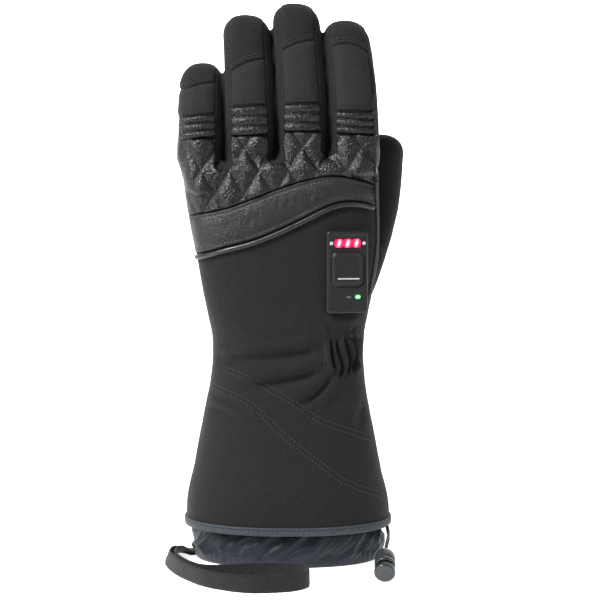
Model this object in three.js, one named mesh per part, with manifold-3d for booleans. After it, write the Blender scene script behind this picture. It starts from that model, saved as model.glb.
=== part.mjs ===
// A heated winter glove for the left hand. It stands on the elastic rim of its snow skirt with the fingers up,
// the back of the hand towards -Y and the thumb towards +X. Millimetres, +Z up.
import * as THREE from "three";
import { mergeVertices } from "three/addons/utils/BufferGeometryUtils.js";
import Module from "manifold-3d";

const wasm = await Module();
wasm.setup();

// Driving sizes: heights above the floor
const hemHeight = 20.5;
const wristHeight = 117;
const knuckleHeight = 222;
const domeHeight = 9;

// Driving sizes: the shell, measured from the axis of the wrist
const hemHalfWidth = 58;
const hemHalfDepth = 41;
const wristHalfWidth = 43;
const wristHalfDepth = 28.5;
const littleSide = 60;
const indexSide = 52;
const knuckleFront = 22;
const knuckleBack = 16.5;
const wall = 3.6;
const gap = 0.3;
// How far a cut runs past what it cuts
const spare = 5;

// Driving sizes: fingers
const fingerWidth = 28.8;
const fingerLength = 79.8;
const crotchRise = 17.5;
const fingerGap = 0.8;
const fingerDepth = 28;
const rootDepth = 36;
const rootDrop = 18;
const rootInset = 1;
const fingerThinning = 0.08;
const fingerSquare = 2.5;
const tipSquare = 2.3;
const webFlare = 1.6;
const outerTuck = 1.5;
const fingerForward = 4;
const fingerCurl = 9;
const tipLength = 13;
const ribHeight = 17;

// Driving sizes: thumb
const thumbWidth = 29.2;
const thumbDepth = 28.5;
const thumbRootShare = 0.1714;
const thumbTipShare = 1.205;
const thumbSeamShare = 0.762;
const thumbRootSide = 31;
const thumbReach = 23.5;
const thumbRootBack = 10;
const thumbStride = 31;
const thumbSquare = 2.3;

// Driving sizes: leather on the back of the hand
const leather = 1.2;
const quiltPuff = 1.3;
const diamondWidth = 16.4;
const diamondHeight = 26.4;
const pipingRadius = 1.5;
const bandAbovePiping = 2.3;
const notchDrop = 7.4;
const ribCount = 3;
const ribRise = 1.7;
const seamInset = 4.6;
const sideSeam = 3;

// Driving sizes: binding, snow skirt and leash
const bindingHeight = 5.6;
const bindingThickness = 1.4;
const bindingDrop = 1.8;
const skirtWall = 1.2;
const skirtRise = 24;
const skirtBulge = 1.6;
const rimHeight = 7;
const rimThickness = 3.4;
const skirtFolds = 15;
const skirtRipple = 0.7;
const leashWidth = 9.5;
const leashThickness = 1.3;

// Driving sizes: heater control
const panelWidth = 23.4;
const panelHeight = 46;
const panelThickness = 6;
const panelProud = 1.4;
const panelCorner = 2.4;
const panelSide = 33.4;
const panelBelow = 14.4;
const panelInset = 1.17;
const panelTurn = 11;
const keyWidth = 18;
const keyHeight = 19.4;
const keyCorner = 3.2;
const keyRise = 0.9;
const keyAbove = 1.8;
const windowWidth = 16.4;
const windowHeight = 5.6;
const windowDepth = 1.1;
const windowAbove = 16.2;
const windowCorner = 1;
const heatLeds = 3;
const chargeWidth = 3.4;
const chargeHeight = 2.8;
const chargeSide = 5.9;
const chargeBelow = 13.9;

// Driving sizes: cord lock and its shock cord
const cordRadius = 0.8;
const lockRadius = 5.8;
const barrelLength = 11.2;
const barrelWall = 1.5;
const plungerHead = 3.6;
const plungerTravel = 2.2;
const plungerStem = 6.5;
const lockPitch = 24;
const lockYaw = 4;
const lockSide = 52.2;
const lockForward = 72.6;

// Fingers from the index finger outwards: width as a share of the finger width, crotch above the knuckles as a
// share of the crotch rise, length above the crotch and seam above it as shares of the finger length, lean as a
// share of the finger width, taper, and the height of the ribs as a share of the rib height.
const fingerRows = [
  {
    name: "index", width: 1.0, crotch: 1.0, length: 0.857,
    lean: -0.208, taper: 0.08, seam: 0.039, ribs: 0.765,
  },
  {
    name: "middle", width: 0.993, crotch: 0.886, length: 1.0,
    lean: -0.149, taper: 0.06, seam: 0.081, ribs: 0.941,
  },
  {
    name: "ring", width: 1.0, crotch: 0.6, length: 0.981,
    lean: -0.104, taper: 0.06, seam: 0.117, ribs: 1.0,
  },
  {
    name: "little", width: 0.924, crotch: 0.429, length: 0.683,
    lean: 0.052, taper: 0.12, seam: 0.134, ribs: 0.776,
  },
];
// Each row is a height as a share of the way from one station to the next, and how far each side of the
// section has gone from the size at the first station to the size at the second.
const sides = (left, right, front, back, square) => ({ x: 0, y: 0, left, right, front, back, square });
const hem = sides(hemHalfWidth, hemHalfWidth, hemHalfDepth, hemHalfDepth, 2.2);
const wrist = sides(wristHalfWidth, wristHalfWidth, wristHalfDepth, wristHalfDepth, 2.5);
const knuckles = sides(littleSide, indexSide, knuckleFront, knuckleBack, 3.0);
const gauntletRows = [
  { at: 0.0, left: 0.0, right: 0.0, front: 0.0, back: 0.0, square: 0.0 },
  { at: 0.12, left: 0.05, right: 0.07, front: 0.12, back: 0.12, square: 0.1 },
  { at: 0.3, left: 0.24, right: 0.29, front: 0.34, back: 0.34, square: 0.3 },
  { at: 0.48, left: 0.43, right: 0.49, front: 0.56, back: 0.56, square: 0.5 },
  { at: 0.66, left: 0.66, right: 0.71, front: 0.76, back: 0.76, square: 0.7 },
  { at: 0.84, left: 0.88, right: 0.91, front: 0.92, back: 0.92, square: 0.9 },
  { at: 1.0, left: 1.0, right: 1.0, front: 1.0, back: 1.0, square: 1.0 },
];
const handRows = [
  { at: 0.0, left: 0.0, right: 0.0, front: 0.0, back: 0.0, square: 0.0 },
  { at: 0.12, left: 0.04, right: 0.08, front: 0.0, back: -0.12, square: 0.1 },
  { at: 0.23, left: 0.19, right: 0.32, front: 0.0, back: -0.26, square: 0.3 },
  { at: 0.34, left: 0.33, right: 0.58, front: 0.05, back: -0.38, square: 0.5 },
  { at: 0.5, left: 0.51, right: 0.92, front: 0.15, back: -0.3, square: 0.8 },
  { at: 0.67, left: 0.7, right: 1.02, front: 0.34, back: 0.02, square: 1.0 },
  { at: 0.83, left: 0.87, right: 1.02, front: 0.62, back: 0.5, square: 1.0 },
  { at: 1.0, left: 1.0, right: 1.0, front: 1.0, back: 1.0, square: 1.0 },
];
const thumbRows = [
  { at: 0.0, out: -0.06, back: 0.0, swell: 0.78 },
  { at: 0.17, out: 0.22, back: 0.2, swell: 0.98 },
  { at: 0.37, out: 0.54, back: 0.5, swell: 1.03 },
  { at: 0.6, out: 0.84, back: 0.84, swell: 1.0 },
  { at: 0.9, out: 1.0, back: 1.0, swell: 0.98 },
  { at: 1.0, out: 1.02, back: 1.0, swell: 0.98 },
];
// The leather band and the piping under it, from the little side (across 0) to the index side (across 1),
// as shares of the height from wrist to knuckles.
const bandRows = [
  { across: -0.1, top: 0.75, piping: 0.53 },
  { across: 0.08, top: 0.77, piping: 0.54 },
  { across: 0.24, top: 0.805, piping: 0.584 },
  { across: 0.36, top: 0.852, piping: 0.618 },
  { across: 0.51, top: 0.913, piping: 0.682 },
  { across: 0.63, top: 0.952, piping: 0.743 },
  { across: 0.75, top: 0.974, piping: 0.804 },
  { across: 0.83, top: 0.968, piping: 0.822 },
  { across: 0.92, top: 0.945, piping: 0.815 },
  { across: 1.02, top: 0.905, piping: 0.78 },
];
// Creases on the back of the wrist: ends as shares of the wrist's half width and of the way from hem to wrist,
// depth as a share of the wall, width as a share of the wrist's half width.
const creases = [
  { fromX: -0.74, fromZ: 0.97, toX: 0.37, toZ: 1.03, depth: 0.42, width: 0.08 },
  { fromX: -0.34, fromZ: 0.82, toX: 0.48, toZ: 0.91, depth: 0.6, width: 0.09 },
  { fromX: 0.28, fromZ: 0.72, toX: 0.64, toZ: 0.87, depth: 0.6, width: 0.08 },
  { fromX: -0.98, fromZ: 1.05, toX: -0.7, toZ: 1.04, depth: 0.3, width: 0.06 },
  { fromX: -1.0, fromZ: 0.74, toX: -0.58, toZ: 0.66, depth: 0.36, width: 0.07 },
  { fromX: -1.04, fromZ: 0.66, toX: -0.56, toZ: 0.57, depth: 0.32, width: 0.07 },
  { fromX: 0.05, fromZ: 1.24, toX: 0.98, toZ: 1.2, depth: 0.36, width: 0.1 },
  { fromX: 1.02, fromZ: 0.8, toX: 0.94, toZ: 0.52, depth: 0.5, width: 0.08 },
];
// Elastic gathers on the index side of the wrist: where they start and how far from its edge they end, as shares
// of the half width there, their middle and reach on the way from hem to wrist, and their rise as a share of the
// wall.
const gathers = { from: 0.575, edge: 0.02, folds: 4.5, middleZ: 0.96, reachZ: 0.17, rise: 0.36 };
const gatherPitch = (1 - gathers.edge - gathers.from) / gathers.folds;
// The leash's outer strand and its return, as shares of the hem's half width and half depth, with the quarter
// turns that the webbing has made from lying flat and how many of its thicknesses it is lifted off the floor.
const leashRows = [
  { x: -0.937, y: 0.0, turn: 0.0, lift: 0.0 },
  { x: -1.02, y: -0.02, turn: 0.04, lift: 0.0 },
  { x: -1.1, y: -0.1, turn: 0.24, lift: 0.0 },
  { x: -1.155, y: -0.34, turn: 0.6, lift: 0.0 },
  { x: -1.165, y: -0.72, turn: 0.84, lift: 0.0 },
  { x: -1.09, y: -1.14, turn: 0.95, lift: 0.0 },
  { x: -0.95, y: -1.55, turn: 1.0, lift: 0.0 },
  { x: -0.73, y: -1.96, turn: 1.0, lift: 0.0 },
  { x: -0.38, y: -2.24, turn: 1.0, lift: 0.0 },
  { x: -0.03, y: -2.2, turn: 1.0, lift: 0.0 },
  { x: 0.13, y: -2.06, turn: 1.0, lift: 0.0 },
  { x: 0.19, y: -1.87, turn: 1.0, lift: 0.0 },
  { x: 0.15, y: -1.68, turn: 1.0, lift: 0.0 },
  { x: 0.03, y: -1.57, turn: 1.0, lift: 0.0 },
  { x: -0.2, y: -1.53, turn: 1.0, lift: 0.0 },
  { x: -0.5, y: -1.6, turn: 1.0, lift: 0.0 },
  { x: -0.76, y: -1.63, turn: 1.0, lift: 0.0 },
  { x: -0.905, y: -1.45, turn: 1.0, lift: 0.0 },
  { x: -1.04, y: -1.1, turn: 1.05, lift: 0.0 },
  { x: -1.115, y: -0.71, turn: 1.16, lift: 0.0 },
  { x: -1.107, y: -0.37, turn: 1.4, lift: 0.2 },
  { x: -1.065, y: -0.16, turn: 1.76, lift: 0.9 },
  { x: -1.005, y: -0.07, turn: 1.96, lift: 1.4 },
  { x: -0.937, y: -0.04, turn: 2.0, lift: 1.4 },
];
// The shock cord's route from under the hem to its lock, as shares of the hem's half width, of how far the lock
// lies in front of the wrist, and of the hem's height
const cordRoute = [
  { x: 0.983, y: -0.055, z: 0.888 },
  { x: 0.986, y: -0.072, z: 0.824 },
  { x: 0.990, y: -0.110, z: 0.785 },
  { x: 0.991, y: -0.160, z: 0.766 },
  { x: 0.990, y: -0.212, z: 0.751 },
  { x: 0.986, y: -0.264, z: 0.741 },
  { x: 0.983, y: -0.317, z: 0.737 },
  { x: 0.978, y: -0.369, z: 0.737 },
  { x: 0.971, y: -0.421, z: 0.737 },
  { x: 0.964, y: -0.474, z: 0.741 },
  { x: 0.957, y: -0.526, z: 0.746 },
  { x: 0.950, y: -0.579, z: 0.751 },
  { x: 0.943, y: -0.631, z: 0.751 },
  { x: 0.934, y: -0.683, z: 0.737 },
  { x: 0.928, y: -0.733, z: 0.693 },
  { x: 0.921, y: -0.774, z: 0.629 },
];

// Where each piece meets the next, worked out from the sizes above
const handLength = knuckleHeight - wristHeight;
const thumbRoot = wristHeight + thumbRootShare * handLength;
const thumbTip = wristHeight + thumbTipShare * handLength;
const thumbSeam = wristHeight + thumbSeamShare * handLength;
const gauntletLength = wristHeight - hemHeight;
const handWidth = littleSide + indexSide;
const knuckleTop = knuckleHeight + domeHeight;
// Further out than anything on the hand, for cutting
const far = handWidth;

const mix = (a, b, t) => a + (b - a) * t;
const clamp = (v, low, high) => Math.min(Math.max(v, low), high);
const ease = (t) => t * t * (3 - 2 * t);
const radians = THREE.MathUtils.degToRad;

// Reads every column of a table at one place by a smooth curve through its rows.
function readTable(rows, key, at) {
  const last = rows.length - 1;
  const x = clamp(at, rows[0][key], rows[last][key]);
  let i = 0;
  while (i < last - 1 && x > rows[i + 1][key]) i += 1;
  const [a, b, c, d] = [rows[Math.max(i - 1, 0)], rows[i], rows[i + 1], rows[Math.min(i + 2, last)]];
  const span = c[key] - b[key];
  const t = (x - b[key]) / span;
  const read = {};
  for (const column of Object.keys(b)) {
    const slopeB = ((c[column] - a[column]) / (c[key] - a[key])) * span;
    const slopeC = ((d[column] - b[column]) / (d[key] - b[key])) * span;
    const [t2, t3] = [t * t, t * t * t];
    read[column] =
      (2 * t3 - 3 * t2 + 1) * b[column] + (t3 - 2 * t2 + t) * slopeB +
      (3 * t2 - 2 * t3) * c[column] + (t3 - t2) * slopeC;
  }
  return read;
}

// A section is a point of the axis and how far it reaches from there to each side, with rounded corners.
function between(a, b, shares) {
  return {
    x: 0,
    y: 0,
    left: mix(a.left, b.left, shares.left),
    right: mix(a.right, b.right, shares.right),
    front: mix(a.front, b.front, shares.front),
    back: mix(a.back, b.back, shares.back),
    square: mix(a.square, b.square, shares.square),
  };
}

function grown(section, by) {
  const made = { ...section };
  for (const side of ["left", "right", "front", "back"]) made[side] = Math.max(section[side] + by, 0.05);
  return made;
}

function shrunk(section, share) {
  const made = { ...section };
  for (const side of ["left", "right", "front", "back"]) made[side] = Math.max(section[side] * share, 0.05);
  return made;
}

function bodySection(z) {
  if (z <= wristHeight) {
    return between(hem, wrist, readTable(gauntletRows, "at", (z - hemHeight) / gauntletLength));
  }
  return between(wrist, knuckles, readTable(handRows, "at", (z - wristHeight) / handLength));
}

// The body's section with its walls moved out by grow, closed over the knuckles by a dome.
function bodyAt(z, grow) {
  const section = grown(bodySection(Math.min(z, knuckleHeight)), grow);
  if (z <= knuckleHeight) return section;
  const rise = (z - knuckleHeight) / (domeHeight + grow);
  return shrunk(section, Math.sqrt(Math.max(1 - rise * rise, 0)));
}

// Fingers are laid side by side from the index side of the hand.
let edge = indexSide;
const fingers = fingerRows.map((row, i) => {
  const width = row.width * fingerWidth;
  const crotch = knuckleHeight + row.crotch * crotchRise;
  const middle = edge - width / 2;
  edge -= width + fingerGap;
  return {
    name: row.name,
    width,
    crotch,
    middle,
    tip: crotch + row.length * fingerLength,
    seam: crotch + row.seam * fingerLength,
    lean: row.lean * fingerWidth,
    taper: row.taper,
    ribs: row.ribs * ribHeight,
    flareLeft: i === fingerRows.length - 1 ? -outerTuck : webFlare,
    flareRight: i === 0 ? -outerTuck : webFlare,
    root: crotch - rootDrop - gap,
  };
});

function roundTip(section, z, tip, grow) {
  const start = tip - tipLength;
  if (z <= start) return section;
  const rise = clamp((z - start) / (tipLength + grow), 0, 1);
  return shrunk(section, Math.pow(Math.max(1 - Math.pow(rise, tipSquare), 0), 1 / tipSquare));
}

function fingerAt(finger, z, grow) {
  const up = clamp((z - finger.crotch) / (finger.tip - finger.crotch), 0, 1);
  const down = clamp((finger.crotch - z) / rootDrop, 0, 1);
  const flare = clamp(3 * down, 0, 1);
  const hand = bodySection(Math.min(z, knuckleHeight));
  const taper = 1 - finger.taper * up;
  const middle = finger.middle + finger.lean * up * up;
  let left = middle - (finger.width / 2) * taper - finger.flareLeft * flare;
  let right = middle + (finger.width / 2) * taper + finger.flareRight * flare;
  if (down > 0) {
    left = Math.max(left, mix(left, rootInset - hand.left, ease(down)));
    right = Math.min(right, mix(right, hand.right - rootInset, ease(down)));
  }
  const depth = mix(fingerDepth, rootDepth, ease(down)) * (1 - fingerThinning * up);
  const section = {
    x: (left + right) / 2,
    y: -fingerForward + fingerCurl * up * up,
    left: (right - left) / 2,
    right: (right - left) / 2,
    front: depth / 2,
    back: depth / 2,
    square: fingerSquare,
  };
  return roundTip(grown(section, grow), z, finger.tip, grow);
}

function thumbAt(z, grow) {
  const row = readTable(thumbRows, "at", (z - thumbRoot) / (thumbTip - thumbRoot));
  const section = {
    x: thumbRootSide + thumbReach * row.out,
    y: thumbRootBack + thumbStride * row.back,
    left: (thumbWidth / 2) * row.swell,
    right: (thumbWidth / 2) * row.swell,
    front: (thumbDepth / 2) * row.swell,
    back: (thumbDepth / 2) * row.swell,
    square: thumbSquare,
  };
  return roundTip(grown(section, grow), z, thumbTip, grow);
}

// How far the cloth on the back of the wrist is pushed in (positive) or stands out (negative).
function foldAt(x, z) {
  const px = x / wristHalfWidth;
  const pz = (z - hemHeight) / gauntletLength;
  const tall = gauntletLength / wristHalfWidth;
  let push = 0;
  for (const crease of creases) {
    const along = new THREE.Vector2(crease.toX - crease.fromX, (crease.toZ - crease.fromZ) * tall);
    const point = new THREE.Vector2(px - crease.fromX, (pz - crease.fromZ) * tall);
    const share = clamp(point.dot(along) / along.lengthSq(), 0, 1);
    const away = point.distanceTo(along.clone().multiplyScalar(share)) / crease.width;
    push += crease.depth * wall * Math.exp(-away * away);
  }
  const fold = (x / bodySection(z).right - gathers.from) / gatherPitch;
  if (fold < 0 || fold > gathers.folds + 0.25) return push;
  const inZ = clamp(1 - Math.abs(pz - gathers.middleZ) / gathers.reachZ, 0, 1);
  return push + gathers.rise * wall * Math.cos(2 * Math.PI * fold) * ease(Math.min(1, 2 * inZ));
}

// The y of a section's front at one x, or null beside it.
function frontOf(section, x) {
  const reach = x < section.x ? section.left : section.right;
  const share = Math.abs(x - section.x) / reach;
  if (share >= 1) return null;
  return section.y - section.front * Math.pow(1 - Math.pow(share, section.square), 1 / section.square);
}

// The y of the glove's front at one x and z, without folds.
function frontAt(x, z) {
  const found = [frontOf(bodyAt(Math.min(z, knuckleTop), 0), x)];
  for (const finger of fingers) {
    if (z > finger.root && z < finger.tip) found.push(frontOf(fingerAt(finger, z, 0), x));
  }
  return Math.min(0, ...found.filter((y) => y !== null));
}

// Geometry and solids
function geometryOf(points, triangles) {
  const geometry = new THREE.BufferGeometry();
  geometry.setAttribute("position", new THREE.Float32BufferAttribute(points.flat(), 3));
  geometry.setIndex(triangles.flat());
  return geometry;
}

function solidOf(geometry) {
  const bare = geometry.clone();
  for (const name of Object.keys(bare.attributes)) if (name !== "position") bare.deleteAttribute(name);
  const merged = mergeVertices(bare, 1e-4);
  return new wasm.Manifold(
    new wasm.Mesh({
      numProp: 3,
      vertProperties: merged.attributes.position.array,
      triVerts: new Uint32Array(merged.index.array),
    }),
  );
}

function meshOf(name, solid, look) {
  const made = solid.getMesh();
  const points = [];
  for (let i = 0; i < made.numVert; i += 1) {
    points.push(Array.from(made.vertProperties.subarray(i * made.numProp, i * made.numProp + 3)));
  }
  const mesh = new THREE.Mesh(geometryOf(points, [Array.from(made.triVerts)]), look);
  mesh.name = name;
  return mesh;
}

// A closed solid through rings with as many points each, from the bottom up, anticlockwise from above.
function loft(rings) {
  const count = rings[0].length;
  const points = rings.flat();
  const triangles = [];
  for (let r = 0; r + 1 < rings.length; r += 1) {
    for (let i = 0; i < count; i += 1) {
      const j = (i + 1) % count;
      const [a, b] = [r * count + i, r * count + j];
      const [c, d] = [a + count, b + count];
      triangles.push([a, b, d], [a, d, c]);
    }
  }
  for (const [ring, up] of [[0, false], [rings.length - 1, true]]) {
    const centre = [0, 1, 2].map((k) => rings[ring].reduce((sum, p) => sum + p[k], 0) / count);
    points.push(centre);
    for (let i = 0; i < count; i += 1) {
      const [a, b] = [ring * count + i, ring * count + ((i + 1) % count)];
      triangles.push(up ? [points.length - 1, a, b] : [points.length - 1, b, a]);
    }
  }
  return solidOf(geometryOf(points, triangles));
}

// The points of a section at angles in degrees, 0 towards +X and 90 towards +Y.
function ringOf(section, z, angles, shift = () => 0) {
  return angles.map((angle) => {
    const [c, s] = [Math.cos(radians(angle)), Math.sin(radians(angle))];
    const power = 2 / section.square;
    const side = c < 0 ? section.left : section.right;
    const x = section.x + Math.sign(c) * Math.pow(Math.abs(c), power) * side;
    const depth = s < 0 ? section.front : section.back;
    const y = section.y + Math.sign(s) * Math.pow(Math.abs(s), power) * depth;
    return [x, y + (s < 0 ? shift(x, z) * Math.min(1, -2 * s) : 0), z];
  });
}

const spread = (from, to, count) => Array.from({ length: count + 1 }, (_, i) => mix(from, to, i / count));
const evenly = (count) => spread(0, 360, count).slice(0, count);

// Columns run along the ridges and valleys where the elastic gathers the cloth.
const gatherAngles = spread(0, gathers.folds, 2 * gathers.folds).map((fold) => {
  const share = gathers.from + gatherPitch * fold;
  return 360 - THREE.MathUtils.radToDeg(Math.acos(Math.pow(share, wrist.square / 2)));
});
const bodyAngles = [
  ...spread(0, 180, 10),
  ...spread(180, gatherAngles[0], 9).slice(1),
  ...gatherAngles.slice(1),
];
const domeShares = [0.55, 0.92];
const tipShares = [0.0, 0.42, 0.74, 0.92, 0.995];

function bodySolid(grow, bottom, heights, angles, shift) {
  const dome = domeShares.map((share) => knuckleHeight + share * (domeHeight + grow));
  return loft([bottom, ...heights, ...dome].map((z) => ringOf(bodyAt(z, grow), z, angles, shift)));
}

function stallSolid(at, root, tip, rings, points, grow) {
  const start = tip - tipLength;
  const tips = tipShares.map((share) => start + share * (tipLength + grow));
  const levels = [...spread(root, start, rings).slice(0, rings), ...tips];
  return loft(levels.map((z) => ringOf(at(z, grow), z, evenly(points))));
}

const coarseHeights = [
  ...spread(hemHeight, wristHeight, 4).slice(1),
  ...spread(wristHeight, knuckleHeight, 5).slice(1),
];
const foldsFrom = mix(hemHeight, wristHeight, 0.55);
const foldsTo = mix(wristHeight, knuckleHeight, 0.24);
const fineHeights = [
  ...spread(hemHeight, foldsFrom, 3).slice(1),
  ...spread(foldsFrom, foldsTo, 11).slice(1),
  ...spread(foldsTo, knuckleHeight, 6).slice(1),
];

// All of the glove's outside, or with a negative grow all of its inside, as one solid.
function gloveSolid(grow, bottom, heights, angles, shift, points) {
  const parts = [bodySolid(grow, bottom, heights, angles, shift)];
  for (const finger of fingers) {
    const at = (z, by) => fingerAt(finger, z, by);
    parts.push(stallSolid(at, finger.root, finger.tip, 5, points, grow));
  }
  parts.push(stallSolid(thumbAt, thumbRoot, thumbTip, 6, points, grow));
  return parts.reduce((all, part) => all.add(part));
}

function boxSolid(low, high) {
  const size = high.map((v, i) => v - low[i]);
  const geometry = new THREE.BoxGeometry(...size);
  geometry.translate(...low.map((v, i) => v + size[i] / 2));
  return solidOf(geometry);
}

// A flat outline in x and z, run along Y from front to back.
function prism(outline, front, back) {
  const shape = new THREE.Shape(outline.map(([x, z]) => new THREE.Vector2(x, z)));
  const geometry = new THREE.ExtrudeGeometry(shape, { depth: back - front, bevelEnabled: false });
  geometry.rotateX(Math.PI / 2);
  geometry.translate(0, back, 0);
  return solidOf(geometry);
}

// A block whose front follows the glove, raised by lift(x, z).
function reliefBlock(xs, zs, lift) {
  const [nx, nz] = [xs.length, zs.length];
  const points = [];
  for (const z of zs) for (const x of xs) points.push([x, frontAt(x, z) - lift(x, z), z]);
  for (const z of zs) for (const x of xs) points.push([x, 0, z]);
  const triangles = [];
  const quad = (a, b, c, d) => triangles.push([a, b, c], [a, c, d]);
  for (let k = 0; k + 1 < nz; k += 1) {
    for (let i = 0; i + 1 < nx; i += 1) {
      const a = k * nx + i;
      const rising = (i + k) % 2 === 0;
      if (rising) triangles.push([a, a + 1, a + nx + 1], [a, a + nx + 1, a + nx]);
      else triangles.push([a, a + 1, a + nx], [a + 1, a + nx + 1, a + nx]);
      const b = a + nx * nz;
      quad(b, b + nx, b + nx + 1, b + 1);
    }
  }
  const deep = nx * nz;
  for (let i = 0; i + 1 < nx; i += 1) {
    quad(i, i + deep, i + deep + 1, i + 1);
    const top = (nz - 1) * nx + i;
    quad(top, top + 1, top + deep + 1, top + deep);
  }
  for (let k = 0; k + 1 < nz; k += 1) {
    const low = k * nx;
    quad(low, low + nx, low + nx + deep, low + deep);
    const end = low + nx - 1;
    quad(end, end + deep, end + nx + deep, end + nx);
  }
  return solidOf(geometryOf(points, triangles));
}

const outside = gloveSolid(0, hemHeight, fineHeights, bodyAngles, foldAt, 14);
const inside = gloveSolid(-wall, hemHeight - spare, coarseHeights, evenly(22), () => 0, 10);
const shell = outside.subtract(inside);
// The same outside with more room, for what is laid over it
const cleared = gloveSolid(gap, hemHeight - spare, fineHeights, bodyAngles, foldAt, 14);
const overlaid = gloveSolid(gap + leather, hemHeight - spare, fineHeights, bodyAngles, foldAt, 14);
const leatherSkin = overlaid.subtract(cleared);

// Looks
const look = (color, roughness, metalness = 0) =>
  new THREE.MeshStandardMaterial({ color, roughness, metalness });
const softshell = look(0x2b2b2c, 0.9);
const grainLeather = look(0x333334, 0.5);
const smoothLeather = look(0x2e2e2f, 0.6);
const slate = look(0x4a4f55, 0.7);
const webbing = look(0x333331, 0.9);
const rubber = look(0x262728, 0.6);
const plastic = look(0x474b4e, 0.5);
const redLens = look(0xe0305a, 0.3);
const greenLens = look(0x49c46a, 0.3);

const glove = new THREE.Group();
const pieces = [];
// A cut can leave crumbs beside its piece: only the piece is kept.
function place(name, solid, material) {
  const piece = solid.decompose().reduce((a, b) => (b.volume() > a.volume() ? b : a));
  const mesh = meshOf(name, piece, material);
  glove.add(mesh);
  pieces.push(mesh);
  return mesh;
}

// Stalls are sewn on above the knuckles and half way up the thumb, and the body keeps their roots.
const upFrom = (z) => boxSolid([-far, -far, z], [far, far, knuckleTop + far]);
let body = shell;
function sewStall(name, column, seam) {
  place(name, shell.intersect(column).intersect(upFrom(seam + gap / 2)), softshell);
  body = body.subtract(column.intersect(upFrom(seam - gap / 2)));
}
for (const finger of fingers) {
  const column = stallSolid((z, by) => fingerAt(finger, z, by), finger.root, finger.tip, 5, 14, gap / 4);
  sewStall(`finger_${finger.name}`, column, finger.seam);
}
sewStall("thumb", stallSolid(thumbAt, thumbRoot, thumbTip, 6, 14, gap / 4), thumbSeam);
place("glove_body", body, softshell);

// Leather band, from the little side round the back of the hand to the side seam
const acrossOf = (x) => (x + littleSide) / handWidth;
const xOf = (across) => across * handWidth - littleSide;
const heightOf = (share) => wristHeight + share * handLength;
const bandAcross = spread(bandRows[0].across, bandRows.at(-1).across, 16);
const bandEdge = (edge) =>
  bandAcross.map((across) => [xOf(across), heightOf(readTable(bandRows, "across", across)[edge])]);
const bandTop = bandEdge("top");
const pipingLine = bandEdge("piping");
const bandLow = pipingLine.map(([x, z]) => [x, z + bandAbovePiping]);
const quiltLow = bandTop.map(([x, z]) => [x, z + gap]);
const seamX = indexSide - sideSeam / 2;
const upToSeam = boxSolid([-far, -far, 0], [seamX, sideSeam, knuckleTop + far]);
const bandOutline = [...bandLow, ...[...bandTop].reverse()];
place("leather_band", prism(bandOutline, -far, far).intersect(leatherSkin).intersect(upToSeam), smoothLeather);

// Piping sewn in along the lower edge of the band
const pipingEnds = pipingLine.filter(([x, z]) => {
  const section = bodySection(z);
  return x > rootInset - section.left && x < Math.min(seamX, section.right - rootInset);
});
const pipingPath = new THREE.CatmullRomCurve3(
  pipingEnds.map(([x, z]) => new THREE.Vector3(x, frontAt(x, z) - pipingRadius - gap, z)),
);
const pipingShape = new THREE.Shape().absarc(0, 0, pipingRadius, 0, 2 * Math.PI);
const pipingSteps = { steps: 22, curveSegments: 3, extrudePath: pipingPath };
const pipingTube = new THREE.ExtrudeGeometry(pipingShape, pipingSteps);
const pipingRoom = prism([...bandLow.map(([x, z]) => [x, z - gap]), ...[...bandTop].reverse()], -far, far);
place("band_piping", solidOf(pipingTube).subtract(cleared).subtract(pipingRoom), smoothLeather);

// Quilted leather over the knuckles: it runs up each finger to its ribs and round the notches between them
function notch(leftX, rightX, bottom) {
  const radius = (rightX - leftX) / 2;
  const centre = (leftX + rightX) / 2;
  return spread(180, 360, 8).map((angle) => {
    const a = radians(angle);
    return [centre + radius * Math.cos(a), bottom + radius + radius * Math.sin(a)];
  });
}
const rightToLeft = fingers.map((finger) => ({
  left: finger.middle - finger.width / 2 + seamInset,
  right: finger.middle + finger.width / 2 - seamInset,
  top: finger.seam,
  crotch: finger.crotch,
}));
const leftToRight = [...rightToLeft].reverse();
const quiltTop = [[-far, leftToRight[0].top]];
leftToRight.forEach((finger, i) => {
  quiltTop.push([finger.right, finger.top]);
  const next = leftToRight[i + 1];
  if (next) {
    quiltTop.push(...notch(finger.right, next.left, finger.crotch - notchDrop), [next.left, next.top]);
  }
});
quiltTop[quiltTop.length - 1] = [far, leftToRight.at(-1).top];
const quiltOutline = [[-far, quiltLow[0][1]], ...quiltLow, [far, quiltLow.at(-1)[1]], ...quiltTop.reverse()];

// A puff of the quilting: highest in the middle of each diamond and nothing along its stitches
function puffAt(x, z) {
  const u = (x - quiltOrigin[0]) / diamondWidth;
  const v = (z - quiltOrigin[1]) / diamondHeight;
  const toLine = (w) => Math.abs(w - Math.round(w));
  return quiltPuff * Math.min(1, 4 * Math.min(toLine(u + v), toLine(u - v)));
}
const quiltOrigin = [xOf(0.101), heightOf(1.005)];
const quiltXs = spread(quiltOrigin[0] - diamondWidth / 2, quiltOrigin[0] + 6.25 * diamondWidth, 27)
  .filter((x) => x > rootInset - littleSide && x < seamX);
const quiltZs = spread(quiltOrigin[1] - 1.25 * diamondHeight, quiltOrigin[1] + diamondHeight, 9);
const puffs = reliefBlock(quiltXs, quiltZs, (x, z) => gap + leather + puffAt(x, z));
const padded = overlaid.add(puffs).subtract(cleared);
const quilt = prism(quiltOutline, -far, far).intersect(padded).intersect(upToSeam);
place("quilted_panel", quilt, grainLeather);

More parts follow.
